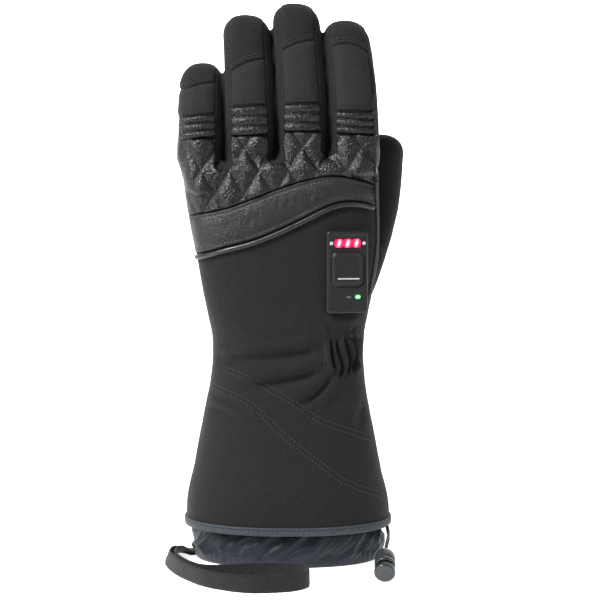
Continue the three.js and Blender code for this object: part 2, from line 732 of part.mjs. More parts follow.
// Padded ribs across the root of each finger
for (const finger of fingers) {
  const share = (finger.seam + finger.ribs / 2 - finger.crotch) / (finger.tip - finger.crotch);
  const shift = finger.lean * share * share;
  const edgeInset = finger.name === "little" ? seamInset / 2 : seamInset;
  const left = finger.middle - finger.width / 2 + edgeInset;
  const right = finger.name === "index" ? seamX : finger.middle + finger.width / 2 - seamInset;
  const xs = spread(left + shift, Math.min(right + shift, seamX), 6);
  const zs = spread(finger.seam + gap, finger.seam + finger.ribs, 4 * ribCount);
  const pitch = (finger.ribs - gap) / ribCount;
  const rib = (x, z) => {
    const wave = Math.abs(Math.sin((Math.PI * (z - finger.seam - gap)) / pitch));
    return gap + leather + ribRise * wave;
  };
  place(`knuckle_ribs_${finger.name}`, reliefBlock(xs, zs, rib).subtract(cleared), grainLeather);
}

// Binding tape round the hem
const bindingLow = hemHeight - bindingDrop;
const ringSteps = evenly(36);
function band(section, low, high, inner, outer) {
  const ring = (by, z) => ringOf(grown(section, by), z, ringSteps);
  const around = loft([ring(outer, low), ring(outer, high)]);
  return around.subtract(loft([ring(inner, low - spare), ring(inner, high + spare)]));
}
place("hem_binding", band(hem, bindingLow, bindingLow + bindingHeight, gap, gap + bindingThickness), slate);

// Snow skirt: a gathered tube of thin cloth that comes out of the hem and ends in an elastic rim on the floor
const skirtTop = hemHeight + skirtRise;
const skirtRoom = wall + 3 * gap + skirtRipple;
const skirtLevels = [
  { z: 0, out: skirtBulge, ripple: 0.3, wall: rimThickness },
  { z: rimHeight, out: skirtBulge + 0.3, ripple: 1.0, wall: skirtWall },
  { z: hemHeight - gap, out: 0.0, ripple: 0.9, wall: skirtWall },
  { z: skirtTop, out: -gap, ripple: 0.4, wall: skirtWall },
];
const skirtSteps = evenly(3 * skirtFolds);
function skirtRing(level, z, inner) {
  const outer = grown(bodySection(Math.max(level.z, hemHeight)), -skirtRoom);
  const section = grown(outer, level.out - (inner ? level.wall : 0));
  return ringOf(section, z, skirtSteps).map(([x, y]) => {
    const ripple = skirtRipple * level.ripple * Math.cos(skirtFolds * Math.atan2(y, x));
    const wave = 1 + ripple / Math.hypot(x, y);
    return [x * wave, y * wave, z];
  });
}
const skirtOut = loft(skirtLevels.map((level) => skirtRing(level, level.z, false)));
const skirtIn = loft([
  skirtRing(skirtLevels[0], -spare, true),
  ...skirtLevels.slice(1, -1).map((level) => skirtRing(level, level.z, true)),
  skirtRing(skirtLevels.at(-1), skirtTop + spare, true),
]);
place("snow_skirt", skirtOut.subtract(skirtIn), slate);

// Wrist leash: one loop of webbing, whose ends meet the little side of the skirt's rim
const leashSteps = spread(0, leashRows.length - 1, 2 * leashRows.length);
const leashTable = leashRows.map((row, at) => ({ ...row, at }));
function leashAt(at) {
  const row = readTable(leashTable, "at", at);
  const turn = radians(90 * clamp(row.turn, 0, 2));
  const edgeOn = Math.sin(turn);
  const flatOn = Math.abs(Math.cos(turn));
  const middle = (leashWidth / 2) * edgeOn + (leashThickness / 2) * flatOn + leashThickness * row.lift;
  return { turn, centre: new THREE.Vector3(row.x * hemHalfWidth, row.y * hemHalfDepth, middle) };
}
const leashRings = leashSteps.map((at) => {
  const { turn, centre } = leashAt(at);
  const along = leashAt(at + 0.05).centre.sub(leashAt(at - 0.05).centre).setZ(0).normalize();
  const across = new THREE.Vector3(-along.y, along.x, 0).multiplyScalar(Math.cos(turn)).setZ(Math.sin(turn));
  const through = new THREE.Vector3().crossVectors(along, across);
  return [[-1, -1], [1, -1], [1, 1], [-1, 1]].map(([wide, thick]) =>
    centre.clone()
      .addScaledVector(across, (wide * leashWidth) / 2)
      .addScaledVector(through, (thick * leashThickness) / 2)
      .toArray(),
  );
});
const leashEnds = loft([-spare, rimHeight].map((z, i) => {
  const level = skirtLevels[i];
  return skirtRing({ ...level, out: level.out + gap }, z, false);
}));
place("wrist_leash", loft(leashRings).subtract(leashEnds), webbing);

// Heater control: a rubber cover on the back of the hand with a window for three lamps and a raised key
function roundedBox(width, height, depth, corner) {
  const [w, h] = [width / 2 - corner, height / 2 - corner];
  const shape = new THREE.Shape();
  shape.absarc(w, h, corner, 0, Math.PI / 2);
  shape.absarc(-w, h, corner, Math.PI / 2, Math.PI);
  shape.absarc(-w, -h, corner, Math.PI, 1.5 * Math.PI);
  shape.absarc(w, -h, corner, 1.5 * Math.PI, 2 * Math.PI);
  return new THREE.ExtrudeGeometry(shape, { depth, bevelEnabled: false, curveSegments: 2 });
}
// The control sits below the piping. Its local axes: x across, y up, z out of the hand
const panelRoof = heightOf(readTable(bandRows, "across", acrossOf(panelSide)).piping);
const panelMiddle = panelRoof - panelBelow - panelHeight / 2;
const panelReach = panelWidth / 2 - panelInset;
const panelFront = Math.min(
  ...[-panelReach, 0, panelReach].map((x) => frontAt(panelSide + x, panelMiddle)),
);
const panelFrame = new THREE.Matrix4()
  .makeTranslation(panelSide, panelFront - gap - panelProud, panelMiddle)
  .multiply(new THREE.Matrix4().makeRotationZ(radians(panelTurn)))
  .multiply(new THREE.Matrix4().makeRotationX(Math.PI / 2));
function onPanel(geometry, across, up, out) {
  const made = geometry.clone().translate(across, up, out).applyMatrix4(panelFrame);
  return solidOf(made);
}
const coverBlock = roundedBox(panelWidth, panelHeight, panelThickness, panelCorner);
const cover = onPanel(coverBlock, 0, 0, -panelThickness);
const keyBlock = roundedBox(keyWidth, keyHeight, panelThickness / 2 + keyRise, keyCorner);
const key = onPanel(keyBlock, 0, keyAbove, -panelThickness / 2);
const recessBlock = roundedBox(windowWidth, windowHeight, 2 * windowDepth, windowCorner);
const recess = onPanel(recessBlock, 0, windowAbove, -windowDepth);
const chargeBlock = roundedBox(chargeWidth, chargeHeight, 2 * windowDepth, windowCorner);
const chargeHole = onPanel(chargeBlock, chargeSide, -chargeBelow, -windowDepth);
place("control_panel", cover.add(key).subtract(recess).subtract(chargeHole).subtract(cleared), rubber);
const lensPitch = (windowWidth - gap) / heatLeds;
for (let i = 0; i < heatLeds; i += 1) {
  const lens = roundedBox(lensPitch - gap, windowHeight - 2 * gap, windowDepth - gap, windowCorner - gap);
  const across = (i - (heatLeds - 1) / 2) * lensPitch;
  place(`heat_led_${i + 1}`, onPanel(lens, across, windowAbove, gap - windowDepth), redLens);
}
const chargeLens = roundedBox(
  chargeWidth - 2 * gap, chargeHeight - 2 * gap, windowDepth - gap, windowCorner - gap,
);
place("charge_led", onPanel(chargeLens, chargeSide, -chargeBelow, gap - windowDepth), greenLens);

// Cord lock: a barrel at the end of the shock cord, with a sprung plunger whose head faces forward and down
const lockLength = barrelLength + plungerTravel + gap + plungerHead;
const lockFrame = new THREE.Matrix4()
  .makeTranslation(lockSide, -lockForward, lockRadius * Math.cos(radians(lockPitch)) + gap)
  .multiply(new THREE.Matrix4().makeRotationZ(radians(-lockYaw)))
  .multiply(new THREE.Matrix4().makeRotationX(radians(lockPitch - 90)));
// Local z runs from the head of the plunger back into the barrel
function cylinder(radius, from, to) {
  const made = new THREE.CylinderGeometry(radius, radius, to - from, 16);
  made.rotateX(Math.PI / 2).translate(0, 0, (from + to) / 2);
  return solidOf(made.applyMatrix4(lockFrame));
}
const barrelStart = plungerHead + plungerTravel + gap;
const bore = lockRadius - barrelWall;
const barrel = cylinder(lockRadius, barrelStart, lockLength)
  .subtract(cylinder(bore, barrelStart - spare, barrelStart + plungerStem + plungerTravel));
place("cord_lock_barrel", barrel, plastic);
const stem = cylinder(bore - gap, plungerHead / 2, barrelStart + plungerStem - gap);
const plunger = cylinder(lockRadius, 0, plungerHead).add(stem);
place("cord_lock_plunger", plunger, plastic);

// Shock cord: two strands from under the hem to the back of the barrel
const strandApart = cordRadius + gap / 2;
const cordShape = new THREE.Shape().absarc(0, 0, cordRadius, 0, 2 * Math.PI);
const cordPath = new THREE.CatmullRomCurve3(
  cordRoute.map((row) => new THREE.Vector3(row.x * hemHalfWidth, row.y * lockForward, row.z * hemHeight)),
);
for (const [name, side] of [["drawcord_front", 1], ["drawcord_back", -1]]) {
  const strand = spread(0, 1, 14).map((t) => {
    const ahead = cordPath.getTangentAt(t);
    const apart = new THREE.Vector3().crossVectors(ahead, new THREE.Vector3(1, 0, 0)).normalize();
    return cordPath.getPointAt(t).addScaledVector(apart, side * strandApart);
  });
  const extrudePath = new THREE.CatmullRomCurve3(strand);
  const cordTube = new THREE.ExtrudeGeometry(cordShape, { steps: 20, curveSegments: 2, extrudePath });
  place(name, solidOf(cordTube), slate);
}

// The origin is the middle of the footprint, on the floor, without the cord and its lock.
glove.updateMatrixWorld(true);
const bounds = new THREE.Box3();
for (const mesh of pieces) {
  if (!mesh.name.startsWith("drawcord") && !mesh.name.startsWith("cord_lock")) bounds.expandByObject(mesh);
}
const middle = bounds.getCenter(new THREE.Vector3());
glove.position.set(-middle.x, -middle.y, -bounds.min.z);

export default glove;
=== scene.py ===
"""A heated winter glove for the left hand, standing on its snow skirt on a white studio floor."""
import math

import bmesh
import bpy
import numpy as np
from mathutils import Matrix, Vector
from mathutils.bvhtree import BVHTree


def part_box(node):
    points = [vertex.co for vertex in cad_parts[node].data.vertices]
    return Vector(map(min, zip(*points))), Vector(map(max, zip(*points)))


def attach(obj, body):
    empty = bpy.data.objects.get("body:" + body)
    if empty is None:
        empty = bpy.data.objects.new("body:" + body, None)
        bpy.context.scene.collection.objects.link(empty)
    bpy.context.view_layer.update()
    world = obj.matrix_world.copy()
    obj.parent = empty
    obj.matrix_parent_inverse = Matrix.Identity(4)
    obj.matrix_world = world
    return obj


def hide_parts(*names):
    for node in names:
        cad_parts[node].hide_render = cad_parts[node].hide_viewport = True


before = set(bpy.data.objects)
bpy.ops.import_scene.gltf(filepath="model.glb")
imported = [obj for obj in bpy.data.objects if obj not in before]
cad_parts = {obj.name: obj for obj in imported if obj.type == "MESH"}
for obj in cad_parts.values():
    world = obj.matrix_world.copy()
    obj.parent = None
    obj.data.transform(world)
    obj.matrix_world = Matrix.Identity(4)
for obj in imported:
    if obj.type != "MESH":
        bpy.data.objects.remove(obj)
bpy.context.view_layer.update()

# Millimetres in this script are measured from the axis of the wrist, as in the part's own source.
hem_low, hem_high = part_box("hem_binding")
AXIS = np.array([(hem_low[0] + hem_high[0]) / 2, (hem_low[1] + hem_high[1]) / 2, 0.0]) * 1000.0


def metres(points):
    return (np.asarray(points, dtype=float) + AXIS) / 1000.0


# Sizes and tables of the part's source
HEM_HEIGHT, WRIST_HEIGHT, KNUCKLE_HEIGHT, DOME_HEIGHT = 20.5, 117.0, 222.0, 9.0
LITTLE_SIDE, INDEX_SIDE = 60.0, 52.0
GAP = 0.3
FINGER_DEPTH, ROOT_DEPTH, ROOT_DROP = 28.0, 36.0, 18.0
WEB_FLARE, OUTER_TUCK, FINGER_FORWARD, FINGER_CURL, TIP_LENGTH = 1.6, 1.5, 4.0, 9.0, 13.0
FINGER_GAP = 0.8
# name, width, crotch, tip, lean, taper, seam, ribs
FINGERS = [
    ("index", 28.8, 239.5, 307.9, -6.0, 0.08, 242.6, 13.0),
    ("middle", 28.6, 237.5, 317.3, -4.3, 0.06, 244.0, 16.0),
    ("ring", 28.8, 232.5, 310.8, -3.0, 0.06, 241.8, 17.0),
    ("little", 26.6, 229.5, 284.0, 1.5, 0.12, 240.2, 13.2),
]
THUMB_WIDTH, THUMB_DEPTH, THUMB_ROOT, THUMB_TIP = 29.2, 28.5, 135.0, 243.5
THUMB_SIDE, THUMB_REACH, THUMB_BACK, THUMB_STRIDE = 31.0, 23.5, 10.0, 31.0
# x, y, left, right, front, back, square
HEM = np.array([0, 0, 58, 58, 41, 41, 2.2])
WRIST = np.array([0, 0, 43, 43, 28.5, 28.5, 2.5])
KNUCKLES = np.array([0, 0, LITTLE_SIDE, INDEX_SIDE, 22, 16.5, 3.0])
# share of the height, then left, right, front, back, square
GAUNTLET_ROWS = [
    (0.0, 0.0, 0.0, 0.0, 0.0, 0.0),
    (0.12, 0.05, 0.07, 0.12, 0.12, 0.1),
    (0.3, 0.24, 0.29, 0.34, 0.34, 0.3),
    (0.48, 0.43, 0.49, 0.56, 0.56, 0.5),
    (0.66, 0.66, 0.71, 0.76, 0.76, 0.7),
    (0.84, 0.88, 0.91, 0.92, 0.92, 0.9),
    (1.0, 1.0, 1.0, 1.0, 1.0, 1.0),
]
HAND_ROWS = [
    (0.0, 0.0, 0.0, 0.0, 0.0, 0.0),
    (0.12, 0.04, 0.08, 0.0, -0.12, 0.1),
    (0.23, 0.19, 0.32, 0.0, -0.26, 0.3),
    (0.34, 0.33, 0.58, 0.05, -0.38, 0.5),
    (0.5, 0.51, 0.92, 0.15, -0.3, 0.8),
    (0.67, 0.7, 1.02, 0.34, 0.02, 1.0),
    (0.83, 0.87, 1.02, 0.62, 0.5, 1.0),
    (1.0, 1.0, 1.0, 1.0, 1.0, 1.0),
]
# share of the height, out, back, swell
THUMB_ROWS = [
    (0.0, -0.06, 0.0, 0.78),
    (0.17, 0.22, 0.2, 0.98),
    (0.37, 0.54, 0.5, 1.03),
    (0.6, 0.84, 0.84, 1.0),
    (0.9, 1.0, 1.0, 0.98),
    (1.0, 1.02, 1.0, 0.98),
]


def read(rows, at):
    """Every column of a table at many places, by a smooth curve through its rows."""
    rows = np.array(rows, dtype=float)
    last = len(rows) - 1
    x = np.clip(np.atleast_1d(at), rows[0, 0], rows[last, 0])
    i = np.clip(np.searchsorted(rows[:, 0], x, side="right") - 1, 0, last - 1)
    a, b, c, d = rows[np.maximum(i - 1, 0)], rows[i], rows[i + 1], rows[np.minimum(i + 2, last)]
    span = (c - b)[:, :1]
    t = (x[:, None] - b[:, :1]) / span
    slope_b = (c - a) / (c - a)[:, :1] * span
    slope_c = (d - b) / (d - b)[:, :1] * span
    t2, t3 = t * t, t * t * t
    start = (2 * t3 - 3 * t2 + 1) * b + (t3 - 2 * t2 + t) * slope_b
    end = (3 * t2 - 2 * t3) * c + (t3 - t2) * slope_c
    return (start + end)[:, 1:]


def ease(t):
    return t * t * (3 - 2 * t)


def body_section(z):
    z = np.atleast_1d(z).astype(float)
    low = read(GAUNTLET_ROWS, (z - HEM_HEIGHT) / (WRIST_HEIGHT - HEM_HEIGHT))
    high = read(HAND_ROWS, (z - WRIST_HEIGHT) / (KNUCKLE_HEIGHT - WRIST_HEIGHT))
    made = np.zeros((len(z), 7))
    made[:, 2:] = np.where(
        (z <= WRIST_HEIGHT)[:, None],
        HEM[2:] + (WRIST - HEM)[2:] * low,
        WRIST[2:] + (KNUCKLES - WRIST)[2:] * high,
    )
    return made


def grown(section, by):
    made = section.copy()
    made[:, 2:6] = np.maximum(made[:, 2:6] + by, 0.05)
    return made


def shrunk(section, share):
    made = section.copy()
    made[:, 2:6] = np.maximum(made[:, 2:6] * share[:, None], 0.05)
    return made


def body_at(z, grow):
    z = np.atleast_1d(z).astype(float)
    section = grown(body_section(np.minimum(z, KNUCKLE_HEIGHT)), grow)
    rise = np.clip((z - KNUCKLE_HEIGHT) / (DOME_HEIGHT + grow), 0, 1)
    return shrunk(section, np.sqrt(1 - rise * rise))


def round_tip(section, z, tip, grow):
    rise = np.clip((z - tip + TIP_LENGTH) / (TIP_LENGTH + grow), 0, 1)
    return shrunk(section, np.power(1 - np.power(rise, 2.3), 1 / 2.3))


def finger_middles():
    edge, middles = INDEX_SIDE, {}
    for name, width, *_ in FINGERS:
        middles[name] = edge - width / 2
        edge -= width + FINGER_GAP
    return middles


MIDDLES = finger_middles()


def finger_at(finger, z, grow):
    name, width, crotch, tip, lean, taper, _, _ = finger
    z = np.atleast_1d(z).astype(float)
    up = np.clip((z - crotch) / (tip - crotch), 0, 1)
    down = np.clip((crotch - z) / ROOT_DROP, 0, 1)
    flare = np.clip(3 * down, 0, 1)
    hand = body_section(np.minimum(z, KNUCKLE_HEIGHT))
    half = width / 2 * (1 - taper * up)
    middle = MIDDLES[name] + lean * up * up
    left = middle - half - (-OUTER_TUCK if name == "little" else WEB_FLARE) * flare
    right = middle + half + (-OUTER_TUCK if name == "index" else WEB_FLARE) * flare
    left = np.where(down > 0, np.maximum(left, left + (1 - hand[:, 2] - left) * ease(down)), left)
    right = np.where(down > 0, np.minimum(right, right + (hand[:, 3] - 1 - right) * ease(down)), right)
    depth = (FINGER_DEPTH + (ROOT_DEPTH - FINGER_DEPTH) * ease(down)) * (1 - 0.08 * up)
    section = np.stack([
        (left + right) / 2, -FINGER_FORWARD + FINGER_CURL * up * up,
        (right - left) / 2, (right - left) / 2, depth / 2, depth / 2, np.full_like(z, 2.5),
    ], axis=1)
    return round_tip(grown(section, grow), z, tip, grow)


def thumb_at(z, grow):
    z = np.atleast_1d(z).astype(float)
    row = read(THUMB_ROWS, (z - THUMB_ROOT) / (THUMB_TIP - THUMB_ROOT))
    half, deep = THUMB_WIDTH / 2 * row[:, 2], THUMB_DEPTH / 2 * row[:, 2]
    section = np.stack([
        THUMB_SIDE + THUMB_REACH * row[:, 0], THUMB_BACK + THUMB_STRIDE * row[:, 1],
        half, half, deep, deep, np.full_like(z, 2.3),
    ], axis=1)
    return round_tip(grown(section, grow), z, THUMB_TIP, grow)


# Camera, in the same millimetres: it looks down a little on the back of the hand
EYE = np.array([0.0, -1000.0, 230.5])
AIM = np.array([0.0, 0.0, 158.5])
AIM_U, AIM_V, PICTURE, FOCAL, SENSOR = 288.0, 281.9, 600.0, 1743.6, 36.0
camera = bpy.data.objects.new("camera", bpy.data.cameras.new("camera"))
bpy.context.scene.collection.objects.link(camera)
bpy.context.scene.camera = camera
camera.data.sensor_width = SENSOR
camera.data.lens = FOCAL * SENSOR / PICTURE
camera.data.shift_x = (PICTURE / 2 - AIM_U) / PICTURE
camera.data.shift_y = (AIM_V - PICTURE / 2) / PICTURE
camera.location = metres(EYE)
camera.rotation_euler = Vector(AIM - EYE).to_track_quat("-Z", "Y").to_euler()


def sight(u, v):
    """Direction from the camera through one point of the 600 x 600 picture."""
    forward = (AIM - EYE) / np.linalg.norm(AIM - EYE)
    right = np.array([1.0, 0.0, 0.0])
    up = np.cross(right, forward)
    return forward * FOCAL + right * (u - AIM_U) - up * (v - AIM_V)


# Making objects
def make_object(name, vertices, faces, material, smooth=True):
    mesh = bpy.data.meshes.new(name)
    mesh.from_pydata([tuple(v) for v in metres(vertices)], [], [tuple(int(i) for i in f) for f in faces])
    mesh.update()
    made = bpy.data.objects.new(name, mesh)
    bpy.context.scene.collection.objects.link(made)
    if smooth:
        mesh.polygons.foreach_set("use_smooth", [True] * len(mesh.polygons))
    mesh.materials.append(material)
    return made


def arrays_of(made):
    """Vertices in millimetres and faces of an object that hasn't been moved."""
    mesh = made.data
    flat = np.empty(len(mesh.vertices) * 3)
    mesh.vertices.foreach_get("co", flat)
    return flat.reshape(-1, 3) * 1000.0 - AXIS, [tuple(p.vertices) for p in mesh.polygons]


def applied(made):
    """The object with its modifiers turned into mesh."""
    graph = bpy.context.evaluated_depsgraph_get()
    mesh = bpy.data.meshes.new_from_object(made.evaluated_get(graph))
    old = made.data
    made.modifiers.clear()
    made.data = mesh
    bpy.data.meshes.remove(old)
    return made


def loft(rings, closed=True, caps=True):
    """Vertices and faces through rings with as many points each."""
    count = len(rings[0])
    vertices = [tuple(p) for ring in rings for p in ring]
    faces = []
    for r in range(len(rings) - 1):
        for i in range(count if closed else count - 1):
            j = (i + 1) % count
            a, b = r * count + i, r * count + j
            faces.append((a, b, b + count, a + count))
    if caps:
        for ring, up in ((0, False), (len(rings) - 1, True)):
            vertices.append(tuple(np.mean(rings[ring], axis=0)))
            for i in range(count):
                a, b = ring * count + i, ring * count + (i + 1) % count
                faces.append((len(vertices) - 1, a, b) if up else (len(vertices) - 1, b, a))
    return vertices, faces


def rings_of(sections, heights, count):
    angle = np.radians(np.arange(count) * 360.0 / count)
    c, s = np.cos(angle), np.sin(angle)
    rings = []
    for (x, y, left, right, front, back, square), z in zip(sections, heights):
        px = x + np.sign(c) * np.abs(c) ** (2 / square) * np.where(c < 0, left, right)
        py = y + np.sign(s) * np.abs(s) ** (2 / square) * np.where(s < 0, front, back)
        rings.append(np.stack([px, py, np.full(count, z)], axis=1))
    return rings


def joined(parts):
    vertices, faces = [], []
    for part_vertices, part_faces in parts:
        start = len(vertices)
        vertices.extend(part_vertices)
        faces.extend(tuple(i + start for i in face) for face in part_faces)
    return vertices, faces


# Node materials
def node(tree, kind, inputs=None, **settings):
    made = tree.nodes.new(kind)
    for key, value in settings.items():
        setattr(made, key, value)
    for key, value in (inputs or {}).items():
        if isinstance(value, bpy.types.NodeSocket):
            tree.links.new(value, made.inputs[key])
        else:
            made.inputs[key].default_value = value
    return made


def new_material(name, roughness, **fixed):
    """A material whose shader has these constant values, its node tree, its shader and its coordinates."""
    made = bpy.data.materials.new(name)
    made.use_nodes = True
    tree = made.node_tree
    shader = tree.nodes["Principled BSDF"]
    shader.inputs["Roughness"].default_value = roughness
    for key, value in fixed.items():
        shader.inputs[key.replace("_", " ")].default_value = value
    where = node(tree, "ShaderNodeTexCoord").outputs["Object"]
    return made, tree, shader, where


def ramp(tree, factor, stops):
    made = node(tree, "ShaderNodeValToRGB", {"Fac": factor})
    elements = made.color_ramp.elements
    elements[0].position, elements[0].color = stops[0][0], (*stops[0][1], 1)
    elements[1].position, elements[1].color = stops[-1][0], (*stops[-1][1], 1)
    for place, colour in stops[1:-1]:
        elements.new(place).color = (*colour, 1)
    return made.outputs["Color"]


def grey(value):
    return (value, value, value * 1.02)


def bump(tree, shader, heights):
    """Chains bumps of (height socket, strength, distance in millimetres) into the shader's normal."""
    last = None
    for height, strength, distance in heights:
        inputs = {"Height": height, "Strength": strength, "Distance": distance / 1000.0}
        if last is not None:
            inputs["Normal"] = last
        last = node(tree, "ShaderNodeBump", inputs).outputs["Normal"]
    tree.links.new(last, shader.inputs["Normal"])


def cloth_material(name, dark, light, weave, roughness=0.85, sheen=0.25, strength=0.35):
    """Fine woven cloth: crossed threads every weave millimetres, with soft mottling and a fine nap."""
    made, tree, shader, where = new_material(name, roughness, Sheen_Weight=sheen, Sheen_Roughness=0.5)
    shader.inputs["Specular IOR Level"].default_value = 0.18
    scale = 2 * math.pi / (weave / 1000.0)
    apart = node(tree, "ShaderNodeSeparateXYZ", {0: where})
    across = node(tree, "ShaderNodeMath", {0: apart.outputs["X"], 1: apart.outputs["Y"]}, operation="ADD")
    waves = []
    for source in (across.outputs[0], apart.outputs["Z"]):
        turned = node(tree, "ShaderNodeMath", {0: source, 1: scale}, operation="MULTIPLY")
        waves.append(node(tree, "ShaderNodeMath", {0: turned.outputs[0]}, operation="SINE").outputs[0])
    thread = node(tree, "ShaderNodeMath", {0: waves[0], 1: waves[1]}, operation="MULTIPLY").outputs[0]
    mottle = node(
        tree, "ShaderNodeTexNoise", {"Vector": where, "Scale": 700.0, "Detail": 4.0, "Roughness": 0.6},
    )
    fine = node(tree, "ShaderNodeTexNoise", {"Vector": where, "Scale": 2400.0, "Detail": 3.0})
    mixed = node(tree, "ShaderNodeMath", {0: thread, 1: 0.12}, operation="MULTIPLY")
    mixed = node(tree, "ShaderNodeMath", {0: mixed.outputs[0], 1: mottle.outputs["Fac"]}, operation="ADD")
    spread = node(
        tree, "ShaderNodeMath", {0: fine.outputs["Fac"], 1: 0.6, 2: mixed.outputs[0]},
        operation="MULTIPLY_ADD",
    )
    colour = ramp(tree, spread.outputs[0], [(0.45, dark), (1.15, light)])
    tree.links.new(colour, shader.inputs["Base Color"])
    bump(tree, shader, [
        (thread, strength, 0.12), (fine.outputs["Fac"], strength, 0.2), (mottle.outputs["Fac"], 0.2, 0.5),
    ])
    return made


def leather_material(name, dark, light, pebble, roughness, strength):
    """Leather with pebbled grain of about pebble millimetres and shine on its high points."""
    made, tree, shader, where = new_material(name, roughness)
    shader.inputs["Specular IOR Level"].default_value = 0.5
    bent = node(tree, "ShaderNodeTexNoise", {"Vector": where, "Scale": 500.0, "Detail": 2.0})
    wobble = node(tree, "ShaderNodeVectorMath", {0: bent.outputs["Color"], 3: 0.0014}, operation="SCALE")
    place = node(tree, "ShaderNodeVectorMath", {0: where, 1: wobble.outputs[0]}, operation="ADD")
    cells = node(
        tree, "ShaderNodeTexVoronoi", {"Vector": place.outputs[0], "Scale": 1000.0 / pebble},
        feature="SMOOTH_F1",
    )
    grain = node(
        tree, "ShaderNodeMapRange", {0: cells.outputs["Distance"], 1: 0.62, 2: 0.1},
        interpolation_type="SMOOTHSTEP",
    )
    fine = node(tree, "ShaderNodeTexNoise", {"Vector": where, "Scale": 2200.0, "Detail": 4.0})
    tone = node(tree, "ShaderNodeTexNoise", {"Vector": where, "Scale": 90.0, "Detail": 4.0})
    mixed = node(
        tree, "ShaderNodeMath", {0: grain.outputs[0], 1: 0.6, 2: tone.outputs["Fac"]},
        operation="MULTIPLY_ADD",
    )
    colour = ramp(tree, mixed.outputs[0], [(0.35, dark), (1.1, light)])
    tree.links.new(colour, shader.inputs["Base Color"])
    rough = node(
        tree, "ShaderNodeMapRange",
        {0: mixed.outputs[0], 1: 0.3, 2: 1.1, 3: roughness + 0.25, 4: roughness - 0.05},
    )
    tree.links.new(rough.outputs[0], shader.inputs["Roughness"])
    bump(tree, shader, [(grain.outputs[0], strength, 0.5), (fine.outputs["Fac"], strength * 0.4, 0.15)])
    return made


def plastic_material(name, dark, light, roughness, texture=2200.0, strength=0.15, **fixed):
    """Moulded plastic or rubber with a fine sparked texture and faint handling marks."""
    made, tree, shader, where = new_material(name, roughness, **fixed)
    fine = node(tree, "ShaderNodeTexNoise", {"Vector": where, "Scale": texture, "Detail": 4.0})
    tone = node(tree, "ShaderNodeTexNoise", {"Vector": where, "Scale": 150.0, "Detail": 5.0})
    colour = ramp(tree, tone.outputs["Fac"], [(0.35, dark), (0.7, light)])
    tree.links.new(colour, shader.inputs["Base Color"])
    marks = {0: tone.outputs["Fac"], 1: 0.3, 2: 0.7, 3: roughness + 0.08, 4: roughness - 0.06}
    rough = node(tree, "ShaderNodeMapRange", marks)
    tree.links.new(rough.outputs[0], shader.inputs["Roughness"])
    bump(tree, shader, [(fine.outputs["Fac"], strength, 0.1)])
    return made


def lamp_material(name, core, rim, strength):
    """A lit lens: nearly white over the lamp in its middle and deep in colour towards its rim."""
    made, tree, shader, where = new_material(name, 0.25)
    tone = node(tree, "ShaderNodeTexNoise", {"Vector": where, "Scale": 500.0, "Detail": 2.0})
    mixed = node(tree, "ShaderNodeAttribute", attribute_name="glow")
    soft = node(
        tree, "ShaderNodeMath", {0: tone.outputs["Fac"], 1: 0.15, 2: mixed.outputs["Fac"]},
        operation="MULTIPLY_ADD",
    )
    colour = ramp(tree, soft.outputs[0], [(0.1, rim), (1.0, core)])
    tree.links.new(colour, shader.inputs["Base Color"])
    tree.links.new(colour, shader.inputs["Emission Color"])
    shader.inputs["Emission Strength"].default_value = strength
    return made


SOFTSHELL = cloth_material("softshell", grey(0.0066), grey(0.014), 0.55, 0.85, 0.08, 0.3)
PANEL_CLOTH = cloth_material("panel_cloth", grey(0.0105), grey(0.02), 0.5, 0.8, 0.1, 0.3)
GRAIN_LEATHER = leather_material("grain_leather", grey(0.0012), grey(0.006), 0.95, 0.3, 0.5)
SMOOTH_LEATHER = leather_material("smooth_leather", grey(0.004), grey(0.0095), 0.6, 0.38, 0.32)
PIPING_LEATHER = leather_material("piping_leather", grey(0.012), grey(0.02), 0.8, 0.22, 0.06)
SLATE_TAPE = cloth_material("slate_tape", (0.026, 0.033, 0.039), (0.058, 0.07, 0.08), 0.7, 0.6, 0.1)
SKIRT_NYLON = cloth_material(
    "skirt_nylon", (0.0065, 0.008, 0.0125), (0.016, 0.02, 0.028), 0.35, 0.4, 0.1, 0.15,
)
WEBBING = cloth_material("webbing", grey(0.006), grey(0.0185), 0.9, 0.8, 0.1, 0.6)
SHOCK_CORD = cloth_material("shock_cord", grey(0.005), grey(0.016), 0.5, 0.8, 0.1, 0.6)
# Thread on the leather is a lighter copy of the thread: part of its extra lightness is painted highlight,
# so stitches that sit in shade still read as lit
LEATHER_THREAD_PAINTED_HIGHLIGHT = cloth_material("leather_thread_painted_highlight", grey(0.03), grey(0.065), 0.3, 0.5, 0.1, 0.3)
THREAD = cloth_material("thread", grey(0.018), grey(0.04), 0.3, 0.6, 0.15, 0.3)
RUBBER = plastic_material("panel_rubber", grey(0.006), grey(0.011), 0.42)
LOCK_PLASTIC = plastic_material("lock_plastic", (0.022, 0.027, 0.03), (0.036, 0.042, 0.046), 0.26)
WHITE_PRINT = plastic_material("white_print", grey(0.42), grey(0.6), 0.6)
PALE_PRINT = plastic_material("pale_print", grey(0.1), grey(0.16), 0.6)
RED_LAMP = lamp_material("red_lens", (1.0, 0.62, 0.72), (0.62, 0.008, 0.07), 1.0)
GREEN_LAMP = lamp_material("green_lens", (0.45, 0.9, 0.5), (0.03, 0.42, 0.09), 0.9)

# Shock cord: two strands from under the hem to the back of the lock
CORD_RADIUS = 0.8
CORD_ROUTE = [
    (57.0, -4.0, 18.2), (57.2, -5.2, 16.9), (57.4, -8.0, 16.1), (57.5, -11.6, 15.7), (57.4, -15.4, 15.4),
    (57.2, -19.2, 15.2), (57.0, -23.0, 15.1), (56.7, -26.8, 15.1), (56.3, -30.6, 15.1), (55.9, -34.4, 15.2),
    (55.5, -38.2, 15.3), (55.1, -42.0, 15.4), (54.7, -45.8, 15.4), (54.2, -49.6, 15.1), (53.8, -53.2, 14.2),
    (53.4, -56.2, 12.9),
]


